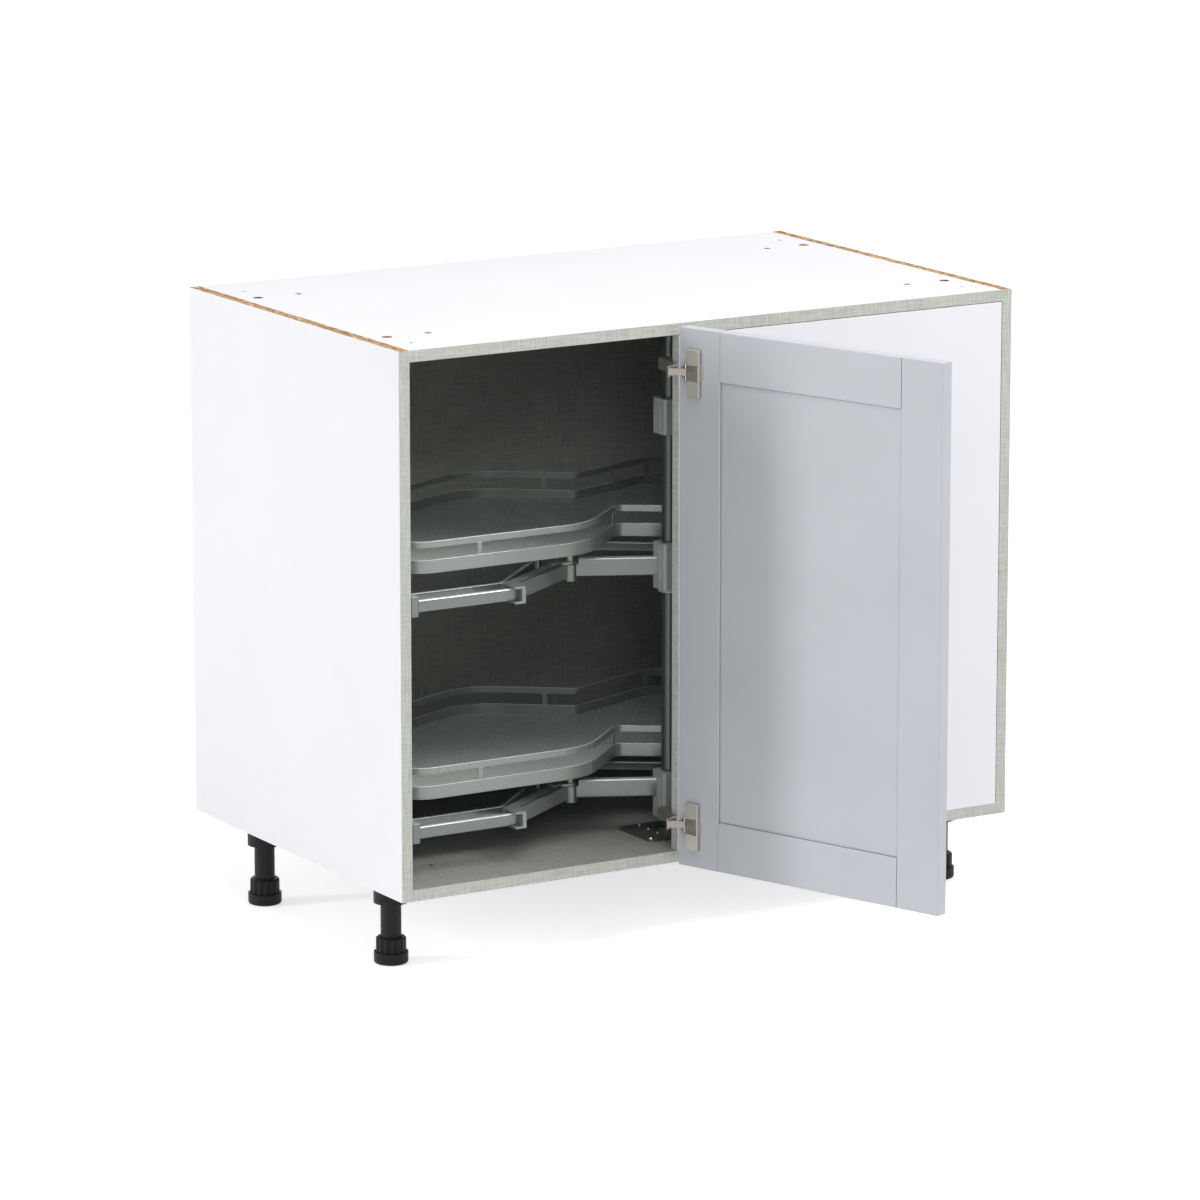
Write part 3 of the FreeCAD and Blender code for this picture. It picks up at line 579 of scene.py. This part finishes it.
@dataclass(frozen=True)
class DottedFloor(Finish):
    """Tray floor with a fine emboss of raised, longish dots in staggered rows."""

    name: str = "tray floor"
    hollow: Colour = srgb(190, 200, 193)
    dot: Colour = srgb(238, 250, 242)
    span: Pair = (0.42, 0.66)
    rough: Pair = (0.4, 0.5)
    cloud_waves: float = 18.0
    pitch: float = 0.0046
    row: float = 0.018
    turn: float = 30.86
    emboss: float = 0.0004
    half: float = 0.5

    def lay(self, bench: Bench) -> None:
        """Lays the dots, with their colour, gloss and height.

        Args:
            bench: The bench.
        """
        turned = bench.spread(1.0, (0.0, 0.0, math.radians(self.turn)))
        counted = bench.nodes.new("ShaderNodeVectorMath")
        counted.operation = "MULTIPLY"
        counted.inputs[1].default_value = (math.tau / self.pitch, math.tau / self.row, 1.0)
        split = bench.nodes.new("ShaderNodeSeparateXYZ")
        bench.links.new(turned, counted.inputs[0])
        bench.links.new(counted.outputs["Vector"], split.inputs["Vector"])
        along, across = (bench.sum(Step.SINE, split.outputs[axis]) for axis in "XY")
        swing = bench.sum(Step.MULTIPLY, bench.sum(Step.MULTIPLY, along, across), self.half)
        dots = bench.sum(Step.ADD, swing, self.half)
        bench.feed("Base Color", bench.blend(dots, self.hollow, self.dot, self.span))
        bench.feed("Roughness", bench.between(bench.noise(self.cloud_waves), *self.rough))
        bench.bump(dots, self.emboss)


@dataclass(frozen=True)
class TurnedBeech(Finish):
    """Raw beech, with flecks along the grain."""

    name: str = "raw beech"
    dark: Colour = srgb(176, 132, 88)
    light: Colour = srgb(214, 178, 134)
    rough: Pair = (0.7, 0.58)
    fleck_waves: Triple = (40.0, 500.0, 500.0)
    fleck_detail: float = 4.0
    fleck_rough: float = 0.6
    relief: float = 0.0001

    def lay(self, bench: Bench) -> None:
        """Lays the grain and its flecks.

        Args:
            bench: The bench.
        """
        grain = bench.noise(self.fleck_waves, self.fleck_detail, self.fleck_rough)
        bench.feed("Base Color", bench.blend(grain, self.dark, self.light))
        bench.feed("Roughness", bench.between(grain, *self.rough))
        bench.bump(grain, self.relief)


class Metals(Enum):
    """The metals of the fittings."""

    # One nickel plating in two tones: darker on links, arms and brackets as painted shade, lighter
    # on cups and caps as painted light.
    NICKEL = Metal("link nickel painted darker", srgb(150, 145, 138), srgb(162, 157, 150), (0.24, 0.32), 0.5)
    CAP = Metal("cup nickel painted lighter", srgb(196, 192, 183), srgb(206, 202, 193), (0.26, 0.34), 0.3)
    ZINC = Metal("screw zinc", srgb(205, 205, 203), srgb(228, 228, 226), (0.22, 0.34))
    # ARM and RIM carry the painted highlight on their upward faces.
    ARM = Metal("coated arm steel", srgb(104, 111, 106), srgb(112, 119, 114), (0.22, 0.3), 0.3,
                lacquer=0.7, top_highlight=PAINTED_HIGHLIGHT)
    RIM = Metal("coated rim steel", srgb(144, 152, 147), srgb(152, 160, 155), (0.24, 0.32), 0.2,
                top_highlight=PAINTED_HIGHLIGHT)
    POST = Metal("coated post steel", srgb(80, 88, 83), srgb(88, 96, 91), (0.22, 0.32), 0.35)
    PLATE = Metal("coated plate steel", srgb(92, 99, 95), srgb(106, 113, 109), (0.34, 0.46), 0.4)
    ALLOY = Metal("cast alloy", srgb(136, 142, 138), srgb(146, 152, 148), (0.28, 0.4), 0.3)


class Plastics(Enum):
    """The plastics of the fittings."""

    BLACK = Moulding("black leg plastic", srgb(18, 18, 18), srgb(25, 25, 25), (0.4, 0.52), 0.22)
    GREY = Moulding("grey fitting plastic", srgb(170, 177, 172), srgb(180, 187, 182), (0.34, 0.46))
    CREAM = Moulding("natural nylon", srgb(206, 198, 170), srgb(222, 214, 188), (0.4, 0.5))


class Workshop:
    """The steps that new pieces are modelled with."""

    MERGE_GAP = 1e-6
    FLAT_ANGLE = math.radians(0.5)
    SHARP_ANGLE = math.radians(32)
    ROUND_STEPS = 3

    @staticmethod
    def pick(*pieces: Piece) -> None:
        """Selects pieces alone and makes the first one active.

        Args:
            pieces: The pieces.
        """
        bpy.ops.object.select_all(action="DESELECT")
        for piece in pieces:
            piece.select_set(True)
        bpy.context.view_layer.objects.active = pieces[0]

    @classmethod
    def clear(cls, *pieces: Piece) -> None:
        """Clears pieces away."""
        cls.pick(*pieces)
        bpy.ops.object.delete()

    @classmethod
    def copy(cls, source: Piece, name: str) -> Piece:
        """Copies a piece with a mesh of its own.

        Args:
            source: The piece to copy.
            name: The copy's name.

        Returns:
            The copy.
        """
        cls.pick(source)
        bpy.ops.object.duplicate(linked=False)
        made = bpy.context.active_object
        made.name = made.data.name = name
        return made

    @classmethod
    def merge(cls, piece: Piece) -> None:
        """Joins a solid's facets into whole faces.

        Args:
            piece: The solid's piece.
        """
        cls.pick(piece)
        bpy.ops.object.mode_set(mode="EDIT")
        bpy.ops.mesh.select_all(action="SELECT")
        bpy.ops.mesh.remove_doubles(threshold=cls.MERGE_GAP)
        bpy.ops.mesh.dissolve_limited(angle_limit=cls.FLAT_ANGLE)
        bpy.ops.mesh.customdata_custom_splitnormals_clear()
        bpy.ops.object.mode_set(mode="OBJECT")

    @classmethod
    def soften(cls, piece: Piece, width: float) -> None:
        """Rounds a piece's sharp edges.

        Args:
            piece: The piece.
            width: Width of the rounding, in metres.
        """
        cls.pick(piece)
        bpy.ops.object.shade_smooth()
        bevel = piece.modifiers.new("eased edges", "BEVEL")
        bevel.width = width
        bevel.segments = cls.ROUND_STEPS
        bevel.limit_method = "ANGLE"
        bevel.angle_limit = cls.SHARP_ANGLE
        bevel.harden_normals = True
        bpy.ops.object.modifier_apply(modifier=bevel.name)

    @staticmethod
    def block(low: Triple, high: Triple) -> Piece:
        """Makes a block to cut or join with.

        Args:
            low: Its lowest corner.
            high: Its highest corner.

        Returns:
            The block.
        """
        bpy.ops.object.select_all(action="DESELECT")
        middle = [(a + b) / 2 for a, b in zip(low, high)]
        bpy.ops.mesh.primitive_cube_add(size=1.0, location=middle)
        made = bpy.context.active_object
        made.scale = [b - a for a, b in zip(low, high)]
        bpy.ops.object.transform_apply(location=True, rotation=False, scale=True)
        return made

    @classmethod
    def combine(cls, piece: Piece, tool: Piece, fit: Fit) -> None:
        """Joins a tool to a piece or cuts it out, and clears the tool away.

        Args:
            piece: The piece.
            tool: The tool.
            fit: Whether it is joined or cut out.
        """
        cls.pick(piece)
        work = piece.modifiers.new("work", "BOOLEAN")
        work.object = tool
        work.operation = fit.value
        bpy.ops.object.modifier_apply(modifier=work.name)
        cls.clear(tool)

    @staticmethod
    def mark_faces(piece: Piece, test: Callable[[bpy.types.MeshPolygon], bool]) -> None:
        """Selects the faces that pass a test, and leaves the piece in edit mode.

        Args:
            piece: The active piece.
            test: Says whether a face is wanted.
        """
        bpy.ops.object.mode_set(mode="EDIT")
        bpy.ops.mesh.select_mode(type="FACE")
        bpy.ops.mesh.select_all(action="DESELECT")
        bpy.ops.object.mode_set(mode="OBJECT")
        for face in piece.data.polygons:
            face.select = test(face)
        bpy.ops.object.mode_set(mode="EDIT")

    @classmethod
    def loose_parts(cls, node: str) -> list[list[Vector]]:
        """Finds the corners of each separate solid of a CAD node.

        Args:
            node: The node's name.

        Returns:
            A list of corners for each solid.
        """
        whole = cls.copy(frame["nodes"][node], "parts_of_" + node)
        cls.merge(whole)
        bpy.ops.object.mode_set(mode="EDIT")
        bpy.ops.mesh.separate(type="LOOSE")
        bpy.ops.object.mode_set(mode="OBJECT")
        parts = list(bpy.context.selected_objects)
        corners = [[vertex.co.copy() for vertex in part.data.vertices] for part in parts]
        cls.clear(*parts)
        return corners

    @classmethod
    def join(cls, name: str, pieces: Sequence[Piece]) -> Piece:
        """Joins pieces into one.

        Args:
            name: The joined piece's name.
            pieces: The pieces.

        Returns:
            The joined piece.
        """
        cls.pick(*pieces)
        bpy.ops.object.join()
        made = bpy.context.active_object
        made.name = made.data.name = name
        return made


@dataclass
class CrossHeadScrew:
    """A pan-head wood screw with a cross recess. Shares are of the head or of the shank."""

    head: float
    shank: float
    length: float
    spin: float = 0.7
    rise: float = 0.25
    slot_share: float = 0.6
    slot_width: float = 0.15
    slot_depth: float = 0.65
    crown_share: float = 0.75
    crown_steps: int = 4
    point_share: float = 2.0
    tip_share: float = 0.12
    sides: int = 32
    level: float = 0.9
    crisp: float = 35.0

    def model(self) -> Piece:
        """Models the screw upright, with the underside of its head at the origin.

        Returns:
            The screw.
        """
        height = self.head * self.rise
        point = self.point_share * self.shank
        bpy.ops.object.select_all(action="DESELECT")
        bpy.ops.mesh.primitive_cylinder_add(vertices=self.sides, radius=self.head / 2,
                                            depth=height, location=(0.0, 0.0, height / 2))
        screw = bpy.context.active_object
        bpy.ops.object.transform_apply(location=True, rotation=False, scale=False)
        Workshop.mark_faces(screw, lambda face: face.normal.z < -self.level)
        bpy.ops.mesh.inset(thickness=(self.head - self.shank) / 2)
        for drop in (self.length - point, point):
            bpy.ops.mesh.extrude_region_move(TRANSFORM_OT_translate={"value": (0.0, 0.0, -drop)})
        bpy.ops.transform.resize(value=(self.tip_share, self.tip_share, 1.0),
                                 center_override=(0.0, 0.0, -self.length))
        Workshop.mark_faces(screw, lambda face: face.normal.z > self.level
                            and face.center.z > height * self.level)
        bpy.ops.mesh.bevel(offset=height * self.crown_share, segments=self.crown_steps,
                           affect="EDGES")
        bpy.ops.object.mode_set(mode="OBJECT")
        self.cut_cross(screw, height)
        Workshop.pick(screw)
        bpy.ops.object.shade_smooth_by_angle(angle=math.radians(self.crisp))
        return screw

    def cut_cross(self, screw: Piece, height: float) -> None:
        """Cuts the cross recess into the head.

        Args:
            screw: The screw.
            height: The head's height.
        """
        top = Vector((0.0, 0.0, height))
        slot = (self.slot_share, self.slot_width)
        for along, across in (slot, slot[::-1]):
            half = Vector((self.head * along / 2, self.head * across / 2, height * self.slot_depth))
            Workshop.combine(screw, Workshop.block(tuple(top - half), tuple(top + half)), Fit.CUT)

    def drive(self, name: str, plain: Sequence[PlainScrew]) -> Piece:
        """Puts a screw where each plain screw stands.

        Args:
            name: The new piece's name.
            plain: The corners of each plain screw, and the way its head looks, one unit long.

        Returns:
            All the screws as one piece.
        """
        pattern = self.model()
        driven = []
        for spot, (corners, way) in enumerate(plain):
            axis = Vector(way)
            middle = sum(corners, Vector()) / len(corners)
            top = max(corner.dot(axis) for corner in corners)
            seat = middle + axis * (top - middle.dot(axis) - self.head * self.rise)
            turn = Vector(UP).rotation_difference(axis).to_matrix().to_4x4()
            spin = Matrix.Rotation(spot * self.spin, 4, "Z")
            screw = Workshop.copy(pattern, f"{name}_{spot}")
            screw.data.transform(Matrix.Translation(seat) @ turn @ spin)
            driven.append(screw)
        Workshop.clear(pattern)
        return Workshop.join(name, driven)


@dataclass
class CoilSpring:
    """A small closing spring, wound close about a pin."""

    wire: float = 0.0005
    radius: float = 0.0016
    turns: int = 4
    pitch: float = 1.05
    sides: int = 10
    steps: int = 20
    crisp: float = 40.0

    def model(self) -> Piece:
        """Winds the spring about the upright axis through the origin.

        Returns:
            The spring.
        """
        bpy.ops.object.select_all(action="DESELECT")
        bpy.ops.mesh.primitive_circle_add(vertices=self.sides, radius=self.wire / 2,
                                          location=(self.radius, 0.0, 0.0),
                                          rotation=(math.pi / 2, 0.0, 0.0))
        spring = bpy.context.active_object
        bpy.ops.object.transform_apply(location=True, rotation=True, scale=False)
        wound = spring.modifiers.new("winding", "SCREW")
        wound.axis = "Z"
        wound.screw_offset = self.wire * self.pitch
        wound.iterations = self.turns
        wound.steps = wound.render_steps = self.steps
        bpy.ops.object.modifier_apply(modifier=wound.name)
        bpy.ops.object.mode_set(mode="EDIT")
        bpy.ops.mesh.select_all(action="SELECT")
        bpy.ops.mesh.fill_holes(sides=0)
        bpy.ops.mesh.select_all(action="SELECT")
        bpy.ops.mesh.normals_make_consistent(inside=False)
        bpy.ops.object.mode_set(mode="OBJECT")
        bpy.ops.object.shade_smooth_by_angle(angle=math.radians(self.crisp))
        return spring


@dataclass
class Assembly(ABC):
    """A group of pieces that are dressed together."""

    made: list[str] = field(default_factory=list)

    def dress(self, finish: Finish, *nodes: str) -> None:
        """Gives CAD nodes a finish in their own slots.

        Args:
            finish: The finish.
            nodes: The nodes' names.
        """
        for name in nodes:
            for slot in frame["nodes"][name].material_slots:
                slot.material = finish.material()
            self.made.append(name)

    def hang(self, piece: Piece, finish: Finish, like: str, *replaced: str) -> None:
        """Hangs a new piece on the body of a CAD node.

        Args:
            piece: The new piece.
            finish: Its finish.
            like: The node whose body it takes.
            replaced: The nodes that it stands for.
        """
        piece.data.materials.clear()
        piece.data.materials.append(finish.material())
        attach(piece, BODIES[like])
        if replaced:
            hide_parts(*replaced)
        self.made.append(piece.name)

    def ease(self, finish: Finish, width: float, *nodes: str) -> None:
        """Shows CAD nodes with rounded edges.

        Args:
            finish: The finish.
            width: Width of the rounding, in metres.
            nodes: The nodes' names.
        """
        for name in nodes:
            piece = Workshop.copy(frame["nodes"][name], "eased_" + name)
            del piece["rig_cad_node"]
            piece.parent = None
            Workshop.merge(piece)
            Workshop.soften(piece, width)
            self.hang(piece, finish, name, name)

    def report(self) -> None:
        """Logs each piece of the group."""
        for name in self.made:
            LOG.info("%s: %s", type(self).__name__, name)

    @abstractmethod
    def build(self) -> None:
        """Builds and dresses the group's pieces."""


@dataclass
class Carcass(Assembly):
    """The box: boards faced white outside and linen inside, and their edge bands."""

    arris: float = 0.0004
    band: LinenPrint = LinenPrint()
    # The blind panel's edge band has the same linen print, made lighter as painted light.
    blind_band_painted_lighter: LinenPrint = LinenPrint("linen print painted lighter", srgb(192, 194, 188),
                                        srgb(236, 238, 232))
    outward: dict[str, Triple] = field(default_factory=lambda: {
        "side_panel_left": (-1.0, 0.0, 0.0),
        "side_panel_right": (1.0, 0.0, 0.0),
        "top_panel": UP,
        "bottom_panel": (0.0, 0.0, -1.0),
        "back_panel": BACK,
        "blind_panel": (0.0, -1.0, 0.0),
    })

    def build(self) -> None:
        """Dresses the boards by their outward faces, then bands and dowels."""
        for name, way in self.outward.items():
            self.ease(FacedBoard("faced " + name, way), self.arris, name)
        self.dress(self.band, "carcass_edge_bands")
        self.dress(self.blind_band_painted_lighter, "blind_edge_band")
        self.dress(TurnedBeech(), "board_dowels")


@dataclass
class LegSet(Assembly):
    """Four black levelling legs."""

    arris: float = 0.0006
    corners: tuple[str, ...] = ("front_left", "front_right", "back_left", "back_right")

    def build(self) -> None:
        """Dresses sockets, tubes and feet."""
        feet = ("foot_" + corner for corner in self.corners)
        self.ease(Plastics.BLACK.value, self.arris, "leg_sockets", "leg_tubes", *feet)


@dataclass
class Door(Assembly):
    """The five-piece door."""

    arris: float = 0.0010

    def build(self) -> None:
        """Dresses the door's frame and panel."""
        self.ease(SatinPaint(), self.arris, "door_stile_free", "door_stile_hinge", "door_rail_top",
                  "door_rail_bottom", "door_panel")


@dataclass
class HingePair(Assembly):
    """The two cup hinges, with their screws, closing springs and cover caps."""

    arris: float = 0.0003
    shut_pin: Triple = (-0.0568, -0.089014, 0.0)
    arm_pin: Triple = (-0.07923, -0.096964, 0.0)
    door_turn: float = 171.04
    link_turn: float = 61.04
    heights: Pair = (0.1743, 0.8128)
    cap_back: float = -0.0842
    cap_front: float = -0.0628
    cap_foot: float = -0.08611
    cap_rise: float = 0.0030
    lip_rise: float = 0.0046
    lip_width: float = 0.0013
    cap_half: float = 0.033
    mouth_half: float = 0.0108
    cap_arris: float = 0.0005
    spring_drop: float = 0.0078
    screw: CrossHeadScrew = field(default_factory=lambda: CrossHeadScrew(0.008, 0.004, 0.011))
    spring: CoilSpring = field(default_factory=CoilSpring)

    def build(self) -> None:
        """Dresses the pressings and pins, then adds screws, springs and caps."""
        self.ease(Metals.CAP.value, self.arris, "hinge_cups")
        self.ease(Metals.NICKEL.value, self.arris, "hinge_links", "hinge_arms", "hinge_brackets")
        self.dress(Metals.ZINC.value, "hinge_cup_pins", "hinge_arm_pins")
        inward = tuple(self.opening().to_3x3() @ Vector(BACK))
        for node, way in (("hinge_cup_screws", inward), ("hinge_bracket_screws", BACK)):
            plain = [(corners, way) for corners in Workshop.loose_parts(node)]
            driven = self.screw.drive("cross_" + node, plain)
            self.hang(driven, Metals.ZINC.value, node, node)
        self.wind_springs()
        self.press_caps()

    def opening(self) -> Matrix:
        """Finds the move that takes the shut door to where it stands open.

        Returns:
            The move.
        """
        moved = Matrix.Identity(4)
        for pin, angle in ((self.shut_pin, self.door_turn), (self.arm_pin, -self.link_turn)):
            place = Matrix.Translation(pin)
            turn = Matrix.Rotation(math.radians(angle), 4, "Z")
            moved = place @ turn @ place.inverted() @ moved
        return moved

    def press_caps(self) -> None:
        """Models the cap that covers a cup's wing plate, and puts one on each hinge."""
        back, front, foot = self.cap_back, self.cap_front, self.cap_foot
        inner = back + self.lip_width
        base = Workshop.block((back, foot, -self.cap_half),
                              (front, foot + self.cap_rise, self.cap_half))
        lip = Workshop.block((back, foot, -self.cap_half),
                             (inner, foot + self.lip_rise, self.cap_half))
        mouth = Workshop.block((inner, foot - self.lip_rise, -self.mouth_half),
                               (front + self.lip_width, foot + 2 * self.lip_rise, self.mouth_half))
        Workshop.combine(base, lip, Fit.JOIN)
        Workshop.combine(base, mouth, Fit.CUT)
        Workshop.merge(base)
        Workshop.soften(base, self.cap_arris)
        caps = []
        for height in self.heights:
            cap = Workshop.copy(base, f"cap_{len(caps)}")
            cap.data.transform(self.opening() @ Matrix.Translation((0.0, 0.0, height)))
            caps.append(cap)
        Workshop.clear(base)
        self.hang(Workshop.join("cup_cover_caps", caps), Metals.CAP.value, "hinge_cups")

    def wind_springs(self) -> None:
        """Winds a spring about each end of each cup pin."""
        pattern = self.spring.model()
        pin = self.opening() @ Vector(self.shut_pin)
        wound = []
        for height in self.heights:
            for side in (-1, 1):
                spring = Workshop.copy(pattern, f"spring_{len(wound)}")
                flip = Matrix.Rotation(0.0 if side > 0 else math.pi, 4, "X")
                place = Matrix.Translation((pin.x, pin.y, height + side * self.spring_drop))
                spring.data.transform(place @ flip)
                wound.append(spring)
        Workshop.clear(pattern)
        self.hang(Workshop.join("closing_springs", wound), Metals.ZINC.value, "hinge_cup_pins")


@dataclass
class PivotPost(Assembly):
    """The post that the trays swing on, with its plates."""

    arris: float = 0.0005
    clip_arris: float = 0.0016
    small: CrossHeadScrew = field(default_factory=lambda: CrossHeadScrew(0.005, 0.003, 0.012, 0.0))
    large: CrossHeadScrew = field(default_factory=lambda: CrossHeadScrew(0.009, 0.005, 0.012, 0.0))
    small_limit: float = 0.006

    def build(self) -> None:
        """Dresses post, plates, clip, rings and screws."""
        self.ease(Metals.POST.value, self.arris, "pivot_post")
        self.ease(Metals.PLATE.value, self.arris, "post_foot_plate", "post_top_plate")
        self.ease(Plastics.GREY.value, self.clip_arris, "post_clip")
        self.ease(Plastics.GREY.value, self.arris, "arm_stop_rings")
        self.drive_screws("post_plate_screws")

    def drive_screws(self, node: str) -> None:
        """Puts cross-head screws in the two plates.

        Args:
            node: The CAD node with the plain screws of both plates.
        """
        low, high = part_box(node)
        small: list[PlainScrew] = []
        large: list[PlainScrew] = []
        for corners in Workshop.loose_parts(node):
            across = [corner.x for corner in corners]
            upward = 1.0 if corners[0].z < (low.z + high.z) / 2 else -1.0
            kind = large if max(across) - min(across) > self.small_limit else small
            kind.append((corners, (0.0, 0.0, upward)))
        driven = [self.small.drive("small_plate_screws", small),
                  self.large.drive("large_plate_screws", large)]
        self.hang(Workshop.join("cross_" + node, driven), Metals.ZINC.value, node, node)


@dataclass
class TraySet(Assembly):
    """One tray with the arm and rails that carry it."""

    level: Level = Level.UPPER
    arris: float = 0.0012
    rim_arris: float = 0.0009
    collar_arris: float = 0.0016

    def own(self, *names: str) -> list[str]:
        """This level's nodes of these names."""
        return [f"{self.level.value}_{name}" for name in names]

    def build(self) -> None:
        """Dresses the arm, the carrier and the tray."""
        self.ease(Metals.ARM.value, self.arris, *self.own(
            "swing_arm", "front_rail", "rear_rail", "rail_end_fitting", "tray_bearer"))
        self.ease(Metals.RIM.value, self.rim_arris, *self.own("tray_rim_band", "tray_uprights"))
        self.dress(Metals.RIM.value, *self.own("tray_top_rail"))
        self.ease(Plastics.GREY.value, self.collar_arris, *self.own("arm_collar"))
        self.ease(Metals.ALLOY.value, self.arris, *self.own("link_arm", "rail_clamp"))
        self.dress(Plastics.CREAM.value, *self.own("elbow_pin"))
        self.ease(DottedFloor(), self.rim_arris, *self.own("tray_floor"))


@dataclass(frozen=True)
class Softbox:
    """One soft studio lamp."""

    name: str
    place: Triple
    aim: Triple
    width: float
    height: float
    watts: float

    def hang(self) -> Piece:
        """Hangs the lamp.

        Returns:
            The lamp's object.
        """
        lamp = bpy.data.lights.new(self.name, "AREA")
        lamp.shape = "RECTANGLE"
        lamp.size, lamp.size_y = self.width, self.height
        lamp.energy = self.watts
        hung = bpy.data.objects.new(self.name, lamp)
        bpy.context.scene.collection.objects.link(hung)
        hung.location = self.place
        look = Vector(self.aim) - Vector(self.place)
        hung.rotation_euler = look.to_track_quat("-Z", "Y").to_euler()
        return hung


@dataclass
class Studio:
    """Floor, light and camera."""

    ambient: float = 0.3
    floor_size: float = 80.0
    floor_drop: float = 0.0004
    floor_reach: float = 5.0
    floor_paper: Colour = (0.86, 0.86, 0.86, 1.0)
    floor_rough: float = 0.9
    floor_glow: float = 0.58
    glow_near: float = 0.85
    glow_far: float = 0.2
    camera_place: Triple = (-4.65964, -7.57980, 2.39879)
    camera_tilt: float = -12.2588
    camera_pan: float = -30.8587
    camera_lens: float = 195.276
    camera_sensor: float = 36.0
    camera_reach: float = 200.0
    lamps: tuple[Softbox, ...] = (
        Softbox("overhead softbox", (-0.4, -1.2, 4.2), (0.0, 0.0, 0.4), 3.0, 3.0, 76.0),
        Softbox("left softbox", (-4.6, 1.5, 1.6), (0.0, 0.1, 0.5), 0.5, 2.4, 86.0),
        Softbox("right softbox", (1.5, -2.0, 3.3), (0.2, -0.1, 0.7), 1.6, 1.6, 56.0),
        Softbox("low fill", (-2.4, -4.3, 2.3), (-0.2, 0.0, 0.5), 1.5, 1.5, 24.0),
    )

    @staticmethod
    def seen(nodes: bpy.types.Nodes, links: bpy.types.NodeLinks) -> Socket:
        """Marks the rays that show the backdrop: to the camera, off gloss and through glass.

        Args:
            nodes: The nodes of the tree.
            links: The links of the tree.

        Returns:
            1 for those rays and 0 for the light that falls on the object.
        """
        path = nodes.new("ShaderNodeLightPath")
        total = path.outputs["Is Camera Ray"]
        for name in ("Is Glossy Ray", "Is Transmission Ray"):
            node = nodes.new("ShaderNodeMath")
            node.operation = "MAXIMUM"
            links.new(total, node.inputs[0])
            links.new(path.outputs[name], node.inputs[1])
            total = node.outputs[0]
        return total

    def lay_world(self) -> None:
        """Lays a white surround that lights the object only a little."""
        world = bpy.data.worlds.new("white surround")
        world.use_nodes = True
        nodes, links = world.node_tree.nodes, world.node_tree.links
        fill = nodes["Background"]
        white = nodes.new("ShaderNodeBackground")
        for shade, strength in ((fill, self.ambient), (white, 1.0)):
            shade.inputs["Color"].default_value = WHITE
            shade.inputs["Strength"].default_value = strength
        mix = nodes.new("ShaderNodeMixShader")
        links.new(self.seen(nodes, links), mix.inputs["Fac"])
        links.new(fill.outputs[0], mix.inputs[1])
        links.new(white.outputs[0], mix.inputs[2])
        links.new(mix.outputs[0], nodes["World Output"].inputs["Surface"])
        bpy.context.scene.world = world

    def lay_floor(self) -> None:
        """Lays a pale floor that stays white away from the object and keeps its shadow."""
        bpy.ops.object.select_all(action="DESELECT")
        bpy.ops.mesh.primitive_plane_add(size=self.floor_size,
                                         location=(0.0, 0.0, -self.floor_drop))
        floor = bpy.context.active_object
        floor.name = "studio_floor"
        material = bpy.data.materials.new("pale floor")
        material.use_nodes = True
        nodes, links = material.node_tree.nodes, material.node_tree.links
        paper = nodes["Principled BSDF"]
        paper.inputs["Base Color"].default_value = self.floor_paper
        paper.inputs["Roughness"].default_value = self.floor_rough
        paper.inputs["Specular IOR Level"].default_value = 0.0
        glow = nodes.new("ShaderNodeEmission")
        place = nodes.new("ShaderNodeTexCoord")
        nearness = nodes.new("ShaderNodeTexGradient")
        nearness.gradient_type = "SPHERICAL"
        shrink = nodes.new("ShaderNodeMapping")
        shrink.inputs["Scale"].default_value = (1 / self.floor_reach,) * 3
        level = nodes.new("ShaderNodeMapRange")
        level.inputs["From Min"].default_value = self.glow_near
        level.inputs["From Max"].default_value = self.glow_far
        level.inputs["To Min"].default_value = self.floor_glow
        level.inputs["To Max"].default_value = 1.0
        shown = nodes.new("ShaderNodeMath")
        shown.operation = "MULTIPLY"
        links.new(place.outputs["Object"], shrink.inputs["Vector"])
        links.new(shrink.outputs["Vector"], nearness.inputs["Vector"])
        links.new(nearness.outputs["Fac"], level.inputs["Value"])
        links.new(level.outputs["Result"], shown.inputs[0])
        links.new(self.seen(nodes, links), shown.inputs[1])
        links.new(shown.outputs[0], glow.inputs["Strength"])
        both = nodes.new("ShaderNodeAddShader")
        links.new(paper.outputs[0], both.inputs[0])
        links.new(glow.outputs[0], both.inputs[1])
        links.new(both.outputs[0], nodes["Material Output"].inputs["Surface"])
        floor.data.materials.append(material)

    def set_camera(self) -> None:
        """Sets the camera where the photograph was taken from."""
        camera = bpy.data.cameras.new("photograph")
        camera.lens = self.camera_lens
        camera.sensor_width = self.camera_sensor
        camera.clip_end = self.camera_reach
        stand = bpy.data.objects.new("photograph", camera)
        bpy.context.scene.collection.objects.link(stand)
        stand.location = self.camera_place
        stand.rotation_euler = (math.radians(90.0 + self.camera_tilt), 0.0,
                                math.radians(self.camera_pan))
        bpy.context.scene.camera = stand

    def build(self) -> None:
        """Builds the studio."""
        bpy.context.scene.view_settings.view_transform = "Standard"
        self.lay_world()
        self.lay_floor()
        for lamp in self.lamps:
            lamp.hang()
        self.set_camera()


def main() -> None:
    """Builds the cabinet's groups in order, then the studio."""
    logging.basicConfig(level=logging.INFO, format="%(name)s %(message)s")
    groups: list[Assembly] = [Carcass(), LegSet(), Door(), HingePair(), PivotPost()]
    groups += [TraySet(level=level) for level in Level]
    for group in groups:
        group.build()
        group.report()
    Studio().build()


if __name__ == "__main__":
    main()
